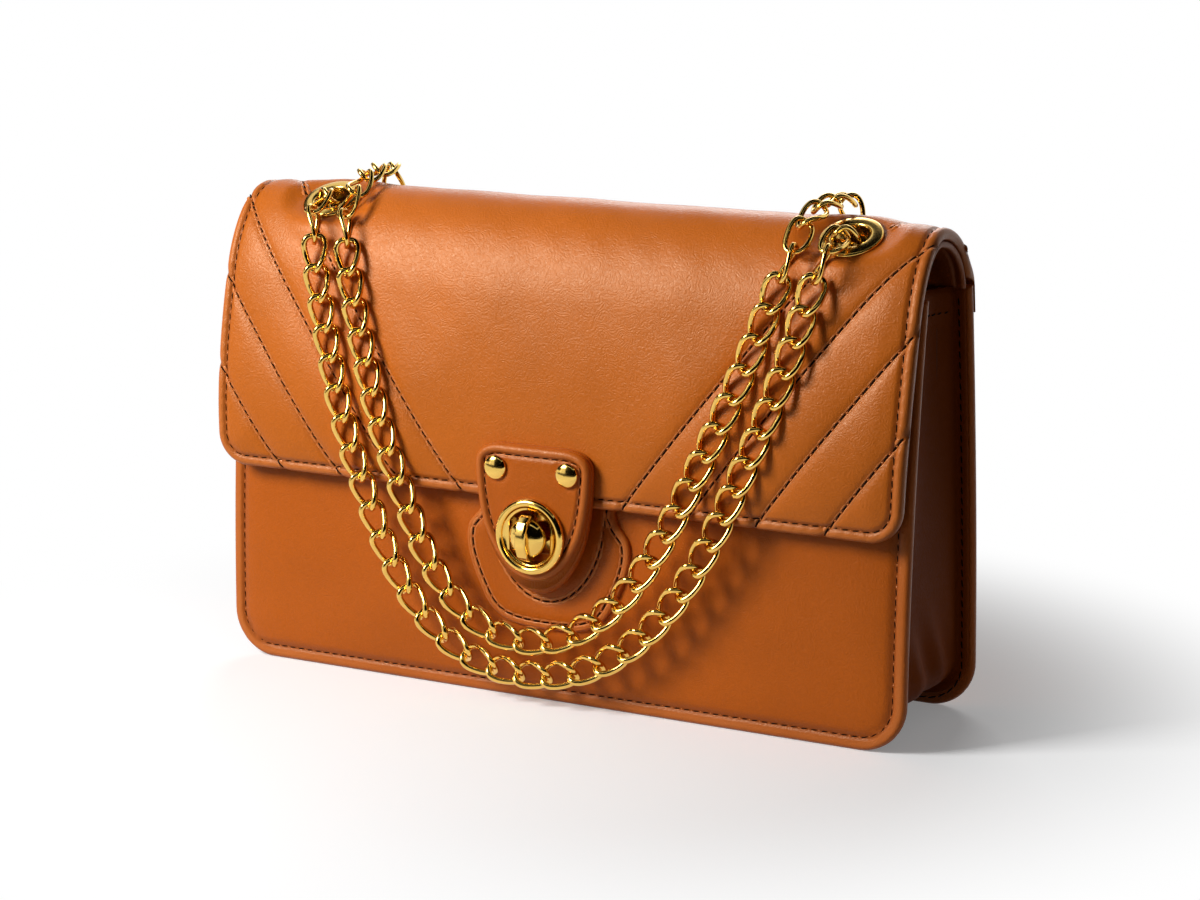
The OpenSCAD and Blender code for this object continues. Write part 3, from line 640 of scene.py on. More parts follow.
def blend_colour(tree, share, a, b):
    """One colour turning into another as the share goes from nothing to one."""
    return node(tree, "ShaderNodeMix", {0: share, 6: a, 7: b}, data_type="RGBA").outputs[2]


def maths(tree, operation, *values):
    """The result of one arithmetic step on sockets or numbers."""
    return node(tree, "ShaderNodeMath", dict(enumerate(values)), operation=operation).outputs[0]


def ranged(tree, value, start, end):
    """A value stretched from one pair of limits to another, and held inside them."""
    links = {"Value": value, "From Min": start[0], "From Max": start[1], "To Min": end[0], "To Max": end[1]}
    return node(tree, "ShaderNodeMapRange", links).outputs[0]


def noise(tree, place, scale, detail, **more):
    """Irregular variation about a half."""
    links = {"Vector": place, "Scale": scale, "Detail": detail, **more}
    return node(tree, "ShaderNodeTexNoise", links).outputs["Fac"]


def toned(tree, colour, tone):
    """A colour made darker or lighter by a number."""
    level = node(tree, "ShaderNodeCombineColor", {0: tone, 1: tone, 2: tone}).outputs[0]
    return node(tree, "ShaderNodeVectorMath", {0: colour, 1: level}, operation="MULTIPLY").outputs[0]


def leather_group():
    """Grain, mottling and rubbed edges of leather, with painted shade in its creases and seam grooves."""
    group, given = new_group(
        "Leather hide", ("Colour", "Painted shade colour", "Worn colour"), ("Grain size", "Roughness")
    )
    place = node(group, "ShaderNodeAttribute", attribute_name="place").outputs["Vector"]
    painted_shade = node(group, "ShaderNodeAttribute", attribute_name="painted_shade").outputs["Fac"]
    edge = node(group, "ShaderNodeAttribute", attribute_name="edge").outputs["Fac"]
    scale = maths(group, "DIVIDE", 1.0, given["Grain size"])
    cloud = noise(group, place, 22, 4)
    grain = noise(group, place, scale, 5, Roughness=0.55, Distortion=1.6)
    # Tone: broad mottling and fine grain, then rubbed edges, then painted shade in the creases and seam
    # grooves
    depth = maths(group, "MULTIPLY", ranged(group, cloud, (0.3, 0.7), (0.92, 1.06)),
                  ranged(group, grain, (0.3, 0.7), (0.93, 1.05)))
    hide = toned(group, given["Colour"], depth)
    worn_and_highlight = blend_colour(group, maths(group, "MULTIPLY", edge, cloud), hide, given["Worn colour"])
    colour = blend_colour(group, painted_shade, worn_and_highlight, given["Painted shade colour"])
    rough = maths(group, "MULTIPLY_ADD", maths(group, "SUBTRACT", grain, 0.5), 0.35, given["Roughness"])
    # Relief: pebbles between fine cracks, and wrinkles that follow the contours of a slow noise
    cells = {"Vector": place, "Scale": scale}
    cracks = node(group, "ShaderNodeTexVoronoi", cells, feature="DISTANCE_TO_EDGE").outputs["Distance"]
    pebble = maths(group, "MINIMUM", cracks, 0.22)
    fold = noise(group, place, maths(group, "MULTIPLY", scale, 0.16), 1.5)
    wrinkle = maths(group, "SINE", maths(group, "MULTIPLY", fold, 95.0))
    height = maths(group, "ADD", grain, maths(group, "MULTIPLY", pebble, 0.8))
    height = maths(group, "MULTIPLY_ADD", maths(group, "MULTIPLY", wrinkle, grain), 0.2, height)
    return close_group(group, colour, rough, height)


def metal_group():
    """Polish marks and slight tarnish of plated metal."""
    group, given = new_group("Plated metal", ("Colour",), ("Roughness",))
    place = node(group, "ShaderNodeTexCoord").outputs["Object"]
    smear = noise(group, place, 160, 3)
    hair = noise(group, place, 900, 2)
    colour = toned(group, given["Colour"], ranged(group, smear, (0.35, 0.7), (0.94, 1.03)))
    rough = maths(group, "MULTIPLY_ADD", smear, 0.10, given["Roughness"])
    return close_group(group, colour, maths(group, "SUBTRACT", rough, 0.05), hair)


def cloth_group():
    """Twill weave of lining cloth."""
    group, given = new_group("Lining twill", ("Colour",), ("Thread size",))
    place = node(group, "ShaderNodeTexCoord").outputs["Object"]
    scale = maths(group, "DIVIDE", 1.0, given["Thread size"])
    weave = {"Vector": place, "Scale": scale, "Distortion": 0.4}
    rib = node(group, "ShaderNodeTexWave", weave, bands_direction="DIAGONAL").outputs["Fac"]
    slub = noise(group, place, scale, 3)
    shade = ranged(group, maths(group, "MULTIPLY", rib, slub), (0, 1), (0.75, 1.5))
    colour = toned(group, given["Colour"], shade)
    return close_group(group, colour, maths(group, "MULTIPLY_ADD", slub, 0.2, 0.65), rib)


GROUP_MAKERS = {"Leather hide": leather_group, "Plated metal": metal_group, "Lining twill": cloth_group}


def surface(name, group_name, values, deep, constants):
    """A material that feeds one of the groups into the Principled shader, built once."""
    if name in bpy.data.materials:
        return bpy.data.materials[name]
    group = bpy.data.node_groups.get(group_name) or GROUP_MAKERS[group_name]()
    material = bpy.data.materials.new(name)
    material.use_nodes = True
    tree = material.node_tree
    shader = tree.nodes["Principled BSDF"]
    effect = node(tree, "ShaderNodeGroup", values, node_tree=group).outputs
    bump = node(tree, "ShaderNodeBump", {"Strength": 1.0, "Distance": deep, "Height": effect["Height"]})
    tree.links.new(effect["Colour"], shader.inputs["Base Color"])
    tree.links.new(effect["Roughness"], shader.inputs["Roughness"])
    tree.links.new(bump.outputs[0], shader.inputs["Normal"])
    for key, value in constants.items():
        shader.inputs[key].default_value = value
    return material


def colour4(value):
    """A colour with its alpha."""
    return (*value, 1)


def leather(name="Cognac leather", colour=None, rough=0.0, constants=None):
    """Smooth leather in one of the bag's colours, with grain, rubbed edges, and painted shade in its creases
    and seam grooves.
    """
    colours = bpy.context.scene.bag_colours
    finish = bpy.context.scene.bag_finish
    values = {
        "Colour": colour4(colour or colours.leather),
        "Painted shade colour": colour4(colours.painted_shade),
        "Worn colour": colour4(colours.worn_and_highlight),
        "Grain size": finish.grain,
        "Roughness": finish.gloss + rough,
    }
    gleam = {"IOR": 1.42, "Specular Tint": LEATHER_TINT, **(constants or {})}
    return surface(name, "Leather hide", values, finish.grain_deep, gleam)


def flap_leather():
    """The flap's leather, a little paler than the panels' as painted light, for the stronger light and sheen
    on the flap.
    """
    return leather("Flap leather", bpy.context.scene.bag_colours.flap)


def shaded_gusset_leather():
    """The gusset's thin, dull leather, darker than the panels' as painted shade."""
    colour = bpy.context.scene.bag_colours.gusset
    return leather("Gusset leather", colour, 0.15, {"IOR": 1.2, "Specular IOR Level": 0.2})


def lining_leather():
    """The leather behind the flap, in the gusset's darker colour, which carries painted shade."""
    return leather("Lining leather", bpy.context.scene.bag_colours.gusset, 0.1)


def gold(name="Polished gold", rough=0.0):
    """Gold plating, polished unless it is made rougher."""
    finish = bpy.context.scene.bag_finish
    values = {"Colour": colour4(bpy.context.scene.bag_colours.gold), "Roughness": finish.polish + rough}
    return surface(name, "Plated metal", values, 0.000002, {"Metallic": 1.0})


def plain_brass():
    """Metal that is hidden in use, and so left unpolished."""
    return gold("Plain brass", 0.25)


def lining_cloth():
    """Dark twill with a slight sheen."""
    values = {"Colour": colour4(bpy.context.scene.bag_colours.cloth), "Thread size": 0.0009}
    return surface("Lining cloth", "Lining twill", values, 0.00012, {"Sheen Weight": 0.2})


def thread():
    """Waxed thread, dark and nearly dull."""
    values = {"Colour": colour4(bpy.context.scene.bag_colours.thread), "Thread size": 0.0006}
    gleam = {"IOR": 1.2, "Specular Tint": THREAD_TINT}
    return surface("Waxed thread", "Lining twill", values, 0.00005, gleam)


def pucker_highlight_leather():
    """Leather standing up beside a seam, glossier, and in the paler edge colour as a painted highlight."""
    return leather("Puckered leather", bpy.context.scene.bag_colours.worn_and_highlight, -0.12)


def board():
    """Stiffening board."""
    values = {"Colour": colour4(bpy.context.scene.bag_colours.board), "Thread size": 0.0015}
    return surface("Fibre board", "Lining twill", values, 0.0001, {})


# Body


def panel_surface(front, x, z):
    """The sewn outer face of a panel: depth, a mark for painted shade in its seam groove, and a mark for its
    rubbed edges.
    """
    sizes = bpy.context.scene.bag_sizes
    distance = tray_distance(x, z, BODY_W / 2, CORNER_R)
    distance = np.minimum(distance, BODY_H - z + (0 if front else LAP_OVER_BACK))
    along = np.where(BODY_W / 2 - np.abs(x) < z, z, x)
    rise = sewn_face(distance, PANEL_SEAM, PANEL_ROLL_R, sizes.panel_puff / MM, along)
    wave = PANEL_WAVE["front" if front else "back"] * waves(x, z, PANEL_WAVE["length"], 1 if front else 4)
    rise = rise + smooth_step(PANEL_SEAM, 30, distance) * wave
    y = front_y(z) - rise if front else back_y(z) + rise
    # Painted shade along the sunk row of stitches
    painted_shade = 0.55 * dent(distance - PANEL_SEAM, 0.9)
    edge = dent(distance - PANEL_SEAM / 2, 1.4)
    return y, painted_shade, edge


def make_panel(front):
    """A padded panel with its turned edge."""
    rows = spread(BODY_H, PANEL_STEP)
    x, z = tray_grid(BODY_W / 2, rows, CORNER_R, PANEL_STEP)
    y, painted_shade, edge = panel_surface(front, x, z)
    distance = np.minimum(tray_distance(x, z, BODY_W / 2, CORNER_R), BODY_H - z)
    deep = PANEL_T - edge_drop(distance, 1.4)
    inner_y = front_y(z, deep) if front else back_y(z, deep)
    data = shell(np.stack([x, y, z], -1), np.stack([x, inner_y, z], -1))
    name = "front_cover" if front else "back_cover"
    piece = new_piece(name, data, [leather()], two_sided_marks(painted_shade, edge))
    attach(piece, "body")
    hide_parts("front_panel" if front else "back_panel")


def tray_path(half_w, low, top, corner_r, step):
    """Points and outward ways down one side, along the bottom and up the other."""
    centre_x, centre_z = -half_w + corner_r, low + corner_r
    left = [((-half_w, z), (-1, 0)) for z in np.arange(top, low + corner_r, -step)]
    for a in np.linspace(0, pi / 2, max(4, int(corner_r * pi / 2 / step) + 1)):
        left.append(((centre_x - corner_r * cos(a), centre_z - corner_r * sin(a)), (-cos(a), -sin(a))))
    base = [((x, low), (0, -1)) for x in np.arange(centre_x, half_w - corner_r, step)[1:]]
    right = [((-x, z), (-nx, nz)) for (x, z), (nx, nz) in reversed(left)]
    points, ways = zip(*(left + base + right))
    return np.array(points, float), np.array(ways, float)


def gusset_fold(x, y_share, z):
    """How far the gusset's web is drawn in: a soft upright fold, and pleats in its lower corners."""
    deep = bpy.context.scene.bag_sizes.gusset_fold / MM
    side = smooth_step(BODY_W / 2 - 26, BODY_W / 2 - 10, np.abs(x))
    middle = np.maximum(1 - (2 * y_share - 1) ** 2, 0)
    fold = deep * smooth_step(20, 120, z) * middle
    low = dent(z - PLEAT_Z, 12) * side
    pleat = low * (PLEAT_DEEP * np.cos(2 * pi * (y_share * 2.5 + z / 30)) * middle)
    return side * fold + pleat


def gusset_row(front, back, hem, fold):
    """The gusset's outer and inner faces at one place: how far out, and how deep."""
    flange = GUSSET_INSET - FLANGE_INSET
    sewn = front + GUSSET_T
    ends = [sewn + GUSSET_BEND, back - GUSSET_T - GUSSET_BEND]
    web_y = np.interp(np.linspace(0, 1, len(fold)), [0, 1], ends)
    outer = [(flange, sewn - 0.5), (flange - 0.5, sewn), (flange / 2, sewn + 0.15),
             (GUSSET_BEND * 0.8, sewn), (GUSSET_BEND * 0.2, sewn + GUSSET_BEND * 0.4)]
    inner = [(flange, front + 0.2), (flange - 0.4, front), (flange / 2, front),
             (0, front), (-GUSSET_T, front)]
    rows = []
    for turned, out in ((outer, hem), (inner, -GUSSET_T)):
        web = [(out - f, y) for f, y in zip(fold, web_y)]
        rows.append(turned + web + [(o, front + back - y) for o, y in reversed(turned)])
    return rows


def make_gusset():
    """One strip of thin leather down both sides and under the base, with its flanges."""
    half = BODY_W / 2 - GUSSET_INSET
    path, ways = tray_path(half, GUSSET_RISE, BODY_H - 0.3, CORNER_R - GUSSET_INSET, 2.5)
    across = np.linspace(0, 1, 27)
    sides = ([], [])
    for (x, z), (nx, nz) in zip(path, ways):
        hem = HEM_T * smooth_step(BODY_H - 11, BODY_H - 9.5, z)
        rows = gusset_row(front_y(z, BOARD_DEEP), back_y(z, BOARD_DEEP), hem, gusset_fold(x, across, z))
        for side, row in zip(sides, rows):
            side.append([(x + nx * o, y, z + nz * o) for o, y in row])
    outer, inner = np.array(sides[0]), np.array(sides[1])
    count = outer.shape[1]
    near = np.minimum(np.arange(count), np.arange(count)[::-1])
    # Painted shade in the bends beside the flanges
    painted_shade = np.tile(0.55 * np.exp(-((near - 4.5) / 1.5) ** 2), (len(path), 1))
    piece = new_piece("gusset_strip", shell(outer, inner), [shaded_gusset_leather()],
                      two_sided_marks(painted_shade, 0 * painted_shade))
    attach(piece, "body")
    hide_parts("gusset")


def lining_ring(z, thin, shrink=1):
    """A turn of the lining at one height: full at its corners, slack and drawn in with the gusset."""
    around = np.linspace(0, 2 * pi, LINING_COUNT, endpoint=False)
    half = BODY_W / 2 - LINING_INSET
    corner = CORNER_R - GUSSET_INSET - GUSSET_T
    short = np.clip(corner - (z - LINING_LOW), 0, corner)
    reach = (half - corner + np.sqrt(max(corner**2 - short**2, 0)) - thin) * shrink
    front, back = front_y(z, LINING_DEEP + thin), back_y(z, LINING_DEEP + thin)
    middle, deep = (front + back) / 2, (back - front) / 2 * max(shrink, 0.05)
    cx, cy = np.cos(around), np.sin(around)
    fat = (np.abs(cx) ** 14 + np.abs(cy) ** 14) ** (-1 / 14)
    x, y = reach * cx * fat, middle + deep * cy * fat
    drawn = gusset_fold(x, (y - front) / (back - front), z)
    slack = 0.5 * waves(x, z + 40 * cy, 38, 9)
    x = x - np.sign(x) * np.maximum(drawn + slack, 0) * (np.abs(cx) > 0.9)
    y = y - np.sign(cy) * np.maximum(0.5 + slack, 0) * (np.abs(cy) > 0.5)
    return np.stack([x, y, np.full(len(x), z)], 1)


def make_lining():
    """A sewn bag of cloth with soft drawn-in walls, open at its top."""
    heights = LINING_LOW + spread(LINING_TOP - LINING_LOW, 3.5, end=False)[::-1]
    base = LINING_LOW + LINING_T
    outside = [lining_ring(z, 0) for z in heights]
    outside += [lining_ring(LINING_LOW, 0, share) for share in LINING_BASE_SHARES]
    inside = [lining_ring(max(z, base), LINING_T) for z in heights]
    inside += [lining_ring(base, LINING_T, share) for share in LINING_BASE_SHARES]
    mesh = loops(np.array(inside[::-1] + outside), caps=True)
    piece = new_piece("lining_bag", mesh, [lining_cloth()])
    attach(piece, "body")
    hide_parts("lining")


def make_pocket():
    """A patch pocket on the lining's back wall, with a slightly slack mouth."""
    half, low, top = POCKET["width"] / 2, POCKET["low"], POCKET["top"]
    rows = spread(top - low, 2.5)
    x, h = tray_grid(half, rows, CORNER_R / 2, 3)
    z = low + h
    mouth = 2.2 * smooth_step(0.6, 1, h / (top - low)) * np.cos(x / half * pi / 2)
    edge = np.minimum(tray_distance(x, h, half, CORNER_R / 2), top - z)
    face = back_y(z, POCKET["deep"] + POCKET["thick"]) - 0.4 - mouth + edge_drop(edge, 0.4)
    rear = back_y(z, POCKET["deep"]) - 0.3 - mouth - edge_drop(edge, 0.3)
    piece = new_piece("inner_pocket", shell(np.stack([x, face, z], -1), np.stack([x, rear, z], -1)),
                      [lining_cloth()])
    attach(piece, "body")
    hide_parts("lining_pocket")


# Flap


def grommet_places():
    """Centre and axis of each grommet's seat."""
    places = []
    for pair in GROMMET_PAIRS:
        y, z, tilt = flap_at(section_run(pair["place"]), GROMMET_SINK)
        angle = tilt - radians(pair["level"])
        for side in (-1, 1):
            centre = np.array([side * pair["span"] / 2 + STRAP_SHIFT, y, z])
            places.append((pair["node"], centre, np.array([0, -sin(angle), cos(angle)])))
    return places


def press_round_grommets(points, under, reach):
    """Draws leather down to the grommets' seats, and says how far each point is from a seat's axis."""
    nearest = np.full(points.shape[:-1], 1e3)
    for _, centre, up in grommet_places():
        off = points - centre
        height = off @ up
        radial = np.linalg.norm(off - height[..., None] * up, axis=-1)
        near = np.abs(height) < 12
        pull = (1 - smooth_step(GROMMET_R + 0.4, GROMMET_R + reach, radial)) * near
        target = -under + 0 * height
        points = points + (pull * (target - height))[..., None] * up
        nearest = np.where(near, np.minimum(nearest, radial), nearest)
    return points, nearest


def chevron_distance(x, run):
    """Distance to the nearest chevron line."""
    gaps = []
    for i in range(CHEVRON_LINES):
        across = np.abs(x) - CHEVRON_FIRST - i * CHEVRON_STEP
        gaps.append(np.abs(across * cos(CHEVRON_ANGLE) - run * sin(CHEVRON_ANGLE)))
    return np.min(gaps, axis=0)


def flap_half(run):
    """Half the flap's width, a little fuller between its corners and the ridge."""
    return BODY_W / 2 + 0.9 * np.sin(np.clip(run / SECTION["ridge"], 0, 1) * pi)


def flap_grid(rows, step, inset=0):
    """Places across and along the flap, inside its round lower corners."""
    short = np.clip(FLAP_CORNER_R - rows, 0, FLAP_CORNER_R)
    half = flap_half(rows) - inset - FLAP_CORNER_R + np.sqrt(FLAP_CORNER_R**2 - short**2)
    across = spread(BODY_W, step) / (BODY_W / 2) - 1
    return half[:, None] * across[None, :], rows[:, None] + 0 * across[None, :]


def cell_middles(values):
    """Mean over the four corners of each cell of a grid."""
    return (values[:-1, :-1] + values[1:, 1:] + values[1:, :-1] + values[:-1, 1:]) / 4


def flap_rise(x, run):
    """Height of the sewn and quilted flap over its plain section, and its marks."""
    sizes = bpy.context.scene.bag_sizes
    half = flap_half(run)
    sides = tray_distance(x, run, half, FLAP_CORNER_R)
    distance = np.minimum(sides, FLAP_RUN - run)
    along = np.where(half - np.abs(x) < run, run, x)
    quilt = sizes.quilt / MM
    line = chevron_distance(x, run)
    rise = sewn_face(distance, FLAP_SEAM, FLAP_ROLL_R, quilt, along)
    seam = CHEVRON_SINK * dent(line, 0.8) + 0.25 * dent(line, 2.6)
    fade = smooth_step(FLAP_RUN - 3, FLAP_RUN - 8, run)
    between = quilt * 0.5 * (1 - dent(line, 5)) * smooth_step(FLAP_SEAM, 12, distance)
    rise = rise - seam * fade + between
    inside = smooth_step(FLAP_SEAM, 22, distance)
    rise = rise + 0.28 * inside * waves(x, run, 52, 2) + 0.1 * inside * waves(x, run, 17, 6)
    # Pressed flat under the tab, and softly round it
    tab = smooth_step(52, 22.5, np.abs(x)) * smooth_step(66, 21, run)
    rise = rise * (1 - tab) + np.minimum(rise, 0.1) * tab
    # Painted shade along the seam rows and the chevron seams
    painted_shade = np.maximum(0.5 * dent(distance - FLAP_SEAM, 0.8), 0.5 * dent(line, 0.8) * fade)
    edge = dent(distance - 2.0, 1.3)
    return rise, painted_shade, edge


def flap_points(x, run, rise):
    """Places on the flap's outer face, with the lap that is sewn over the back panel."""
    lap = LAP_T * smooth_step(SECTION["hinge"] - 10, SECTION["hinge"] - 1, run)
    y, z, _ = flap_at(run, -(rise + lap))
    return np.stack([x, y, z], -1)


def make_flap_cover():
    """The flap's padded and quilted leather."""
    x, run = flap_grid(spread(FLAP_RUN, FLAP_STEP), FLAP_STEP)
    rise, painted_shade, edge = flap_rise(x, run)
    outer, near = press_round_grommets(flap_points(x, run, rise), SEAT_SINK, SEAT_REACH)
    distance = np.minimum(tray_distance(x, run, flap_half(run), FLAP_CORNER_R), FLAP_RUN - run)
    lap = smooth_step(SECTION["hinge"] - 5, SECTION["hinge"], run)
    deep = (FLAP_T - edge_drop(distance, 1.5)) * (1 - lap) - lap * 0.1
    y, z, _ = flap_at(run, deep)
    inner = np.stack([x, y, z], -1)
    # Painted shade round each grommet's rim
    painted_shade = np.maximum(painted_shade, 0.4 * dent(near - GROMMET_R, 1.2))
    open_r = GROMMET_HOLE_R + 1.6
    piece = new_piece("flap_cover", shell(outer, inner, cell_middles(near) > open_r), [flap_leather()])
    set_marks(piece, outer, painted_shade, edge)
    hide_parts("flap_leather")
    bend_over_hinge(piece)


def place_keys(points):
    """Whole numbers that stand for places, a micrometre apart."""
    return [tuple(k) for k in np.round(points * 1e6).astype(np.int64).tolist()]


def set_marks(piece, outer, painted_shade, edge):
    """Marks for a shell with holes, found again by place since its unused points are gone."""
    table = {key: i for i, key in enumerate(place_keys(to_frame(outer)))}
    mesh = piece.data
    places = np.zeros(len(mesh.vertices) * 3, np.float32)
    mesh.vertices.foreach_get("co", places)
    found = [table.get(key, -1) for key in place_keys(places.reshape(-1, 3).astype(float))]
    for key, values in (("painted_shade", painted_shade.ravel()), ("edge", edge.ravel())):
        mesh.attributes[key].data.foreach_set("value", [float(values[i]) if i >= 0 else 0.0 for i in found])


def bend_over_hinge(piece):
    """Bakes a flap layer's placement into its mesh; the seam's bend points are worked out but not used, so
    the layer neither bends nor follows the flap.
    """
    start = to_frame([0, HINGE_Y + BEND_START[0], BODY_H + BEND_START[1]])[0]
    end = to_frame([0, HINGE_Y + BEND_END[0], BODY_H + BEND_END[1]])[0]
    tuple(start)
    tuple(end)
    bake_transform(piece)


def make_flap_lining():
    """The leather sewn behind the flap, up to its hinge."""
    inset = 1.0
    rows = inset + spread(SECTION["hinge"] - 0.4 - inset, FLAP_LINING_STEP, end=False)
    x, run = flap_grid(rows, FLAP_LINING_STEP, inset)
    distance = tray_distance(x, run - inset, flap_half(run) - inset, FLAP_CORNER_R)
    seam = distance - FLAP_SEAM + inset
    dip = 0.4 * dent(seam, 0.8)
    faces = []
    for deep in (FLAP_T + 0.15 + edge_drop(distance, 1.0), FLAP_ALL_T - edge_drop(distance, 1.0) - dip):
        y, z, _ = flap_at(run, deep)
        faces.append(np.stack([x, y, z], -1))
    _, near = press_round_grommets(faces[0], 0, 1)
    piece = new_piece("flap_lining_leather", shell(*faces, cell_middles(near) > GROMMET_HOLE_R + 2.6),
                      [lining_leather()])
    # Painted shade along the lining's seam
    set_marks(piece, faces[1], 0.5 * dent(seam, 0.9), 0 * distance)
    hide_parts("flap_lining")
    bend_over_hinge(piece)


# Tab and patch


def half_line(curves, half_w, low, top, steps=24):
    """The right half of a line from share curves that run from its top to its bottom."""
    right = np.concatenate([bezier(c, np.arange(steps) / steps) for c in curves] + [[curves[-1][3]]])
    return right * [half_w, top - low] + [0, low]


def half_outline(curves, half_w, low, top):
    """A closed outline from share curves of its right half."""
    right = half_line(curves, half_w, low, top)
    return np.concatenate([right, (right * [-1, 1])[-2:0:-1]])


def ray_radius(outline, centre, turns):
    """Distance from a centre to an outline along each ray."""
    off = outline - centre
    angle = np.arctan2(off[:, 1], off[:, 0])
    order = np.argsort(angle)
    return np.interp(turns, angle[order], np.hypot(*off.T)[order], period=2 * pi)


def outline_distance(x, z, outline):
    """Distance from each place to an outline's nearest side."""
    p = np.stack([x.ravel(), z.ravel()], 1)
    best = np.full(len(p), 1e9)
    for a, b in zip(outline, np.roll(outline, -1, axis=0)):
        side = b - a
        share = np.clip(((p - a) @ side) / max(side @ side, 1e-12), 0, 1)
        best = np.minimum(best, np.hypot(*(p - a - share[:, None] * side).T))
    return best.reshape(x.shape)


def inset_line(outline, inset):
    """The outline drawn in by an inset."""
    way = np.roll(outline, -1, axis=0) - np.roll(outline, 1, axis=0)
    way = way / np.linalg.norm(way, axis=1)[:, None]
    return outline + inset * np.stack([way[:, 1], -way[:, 0]], 1)


# Rays round a centre, for the outlines of the tab, the patch and the eyelet
RAY_TURNS = np.linspace(-pi, pi, 300, endpoint=False)


def slot_radius(radius, half_w, drop):
    """Edge of a round hole with flattened sides along each ray."""
    down = drop * np.sin(RAY_TURNS)
    round_r = -down + np.sqrt(radius**2 - (drop * np.cos(RAY_TURNS)) ** 2)
    return np.minimum(round_r, half_w / np.maximum(np.abs(np.cos(RAY_TURNS)), 1e-6))


def ray_rows(outer_r, hole_r, centre, step):
    """Places on rays from an outline in to a hole, close together at the outline."""
    longest = float(np.max(outer_r - hole_r))
    shares = np.linspace(0, 1, int(longest / step))[1:]
    last = outer_r - EDGE_STEPS[-1]
    radii = np.array([outer_r - e for e in EDGE_STEPS] + [last * (1 - s) + hole_r * s for s in shares])
    return centre[0] + radii * np.cos(RAY_TURNS), centre[1] + radii * np.sin(RAY_TURNS)


def lock_turn(radius, y):
    """A turn of points round the lock's axis, at a radius along each ray."""
    level = np.full(len(RAY_TURNS), y)
    return np.stack([radius * np.cos(RAY_TURNS), level, LOCK_H + radius * np.sin(RAY_TURNS)], -1)


def patch_inner_row():
    """The shield's inner row of stitches, which runs round the tab."""
    half = half_line(PATCH_INNER_SHARES, PATCH_W / 2, PATCH_LOW, PATCH_TOP)
    return np.concatenate([half[:-1], (half * [-1, 1])[::-1]])


def make_patch():
    """The shield patch, and the paths of its two rows of stitches."""
    outline = half_outline(PATCH_SHARES, PATCH_W / 2, PATCH_LOW, PATCH_TOP)
    centre = np.array([0, LOCK_H - 2])
    outer_r = ray_radius(outline, centre, RAY_TURNS)
    hole = np.full(len(RAY_TURNS), PATCH_HOLE_R)
    x, z = ray_rows(outer_r, hole, centre, 1.2)
    distance = outline_distance(x, z, outline)
    base, _, _ = panel_surface(True, x, z)
    lift = PATCH_T - edge_drop(distance, 1.2) + 0.1
    inner_row = patch_inner_row()
    row = outline_distance(x, z, np.concatenate([inner_row, inner_row[::-1]]))
    lift = lift - 0.4 * dent(distance - PATCH_SEAM, 0.75) - 0.35 * dent(row, 0.8)
    lift = lift + 0.25 * dent(distance - 5.8, 2.4)
    face = np.stack([x, base - lift, z], -1)
    rear = np.stack([x, base - 0.05, z], -1)
    # Painted shade along both rows of stitches
    painted_shade = 0.5 * np.maximum(dent(distance - PATCH_SEAM, 0.8), dent(row, 0.8))
    edge = dent(distance - 0.9, 0.8)
    mesh = loops(np.concatenate([face, rear[::-1]]), close_rows=True)
    piece = new_piece("shield_leather", mesh, [leather()], two_sided_marks(painted_shade, edge))
    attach(piece, "body")
    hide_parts("shield_patch")
    outer_row = inset_line(outline, PATCH_SEAM)
    outer_row = outer_row[outer_row[:, 1] < FLAP_LOW + 4]
    outer_row = outer_row[np.argsort(np.arctan2(outer_row[:, 0], centre[1] - outer_row[:, 1]))]
    runs = []
    for line in (outer_row, inner_row):
        y, _, _ = panel_surface(True, line[:, 0], line[:, 1])
        path = np.stack([line[:, 0], y - PATCH_T + 0.15, line[:, 1]], 1)
        runs.append((path, facing((0, -1, 0), path)))
    return runs


def tab_face(distance, x, z):
    """Depth of the tab's padded face behind its highest bead."""
    deep = 0.8 * dent(distance - TAB_SEAM, 0.7)
    deep = deep + 0.25 * smooth_step(TAB_SEAM - 0.6, TAB_SEAM + 0.6, distance)
    deep = deep - 0.35 * smooth_step(TAB_SEAM + 1, TAB_SEAM + 10, distance)
    for side in (-1, 1):
        deep = deep + 0.25 * dent(np.hypot(x - side * RIVET_HALF_GAP, z - RIVET_H) - RIVET_R, 1.4)
    deep = deep + 0.12 * waves(x, z, 21, 3) * smooth_step(TAB_SEAM, 12, distance)
    return deep


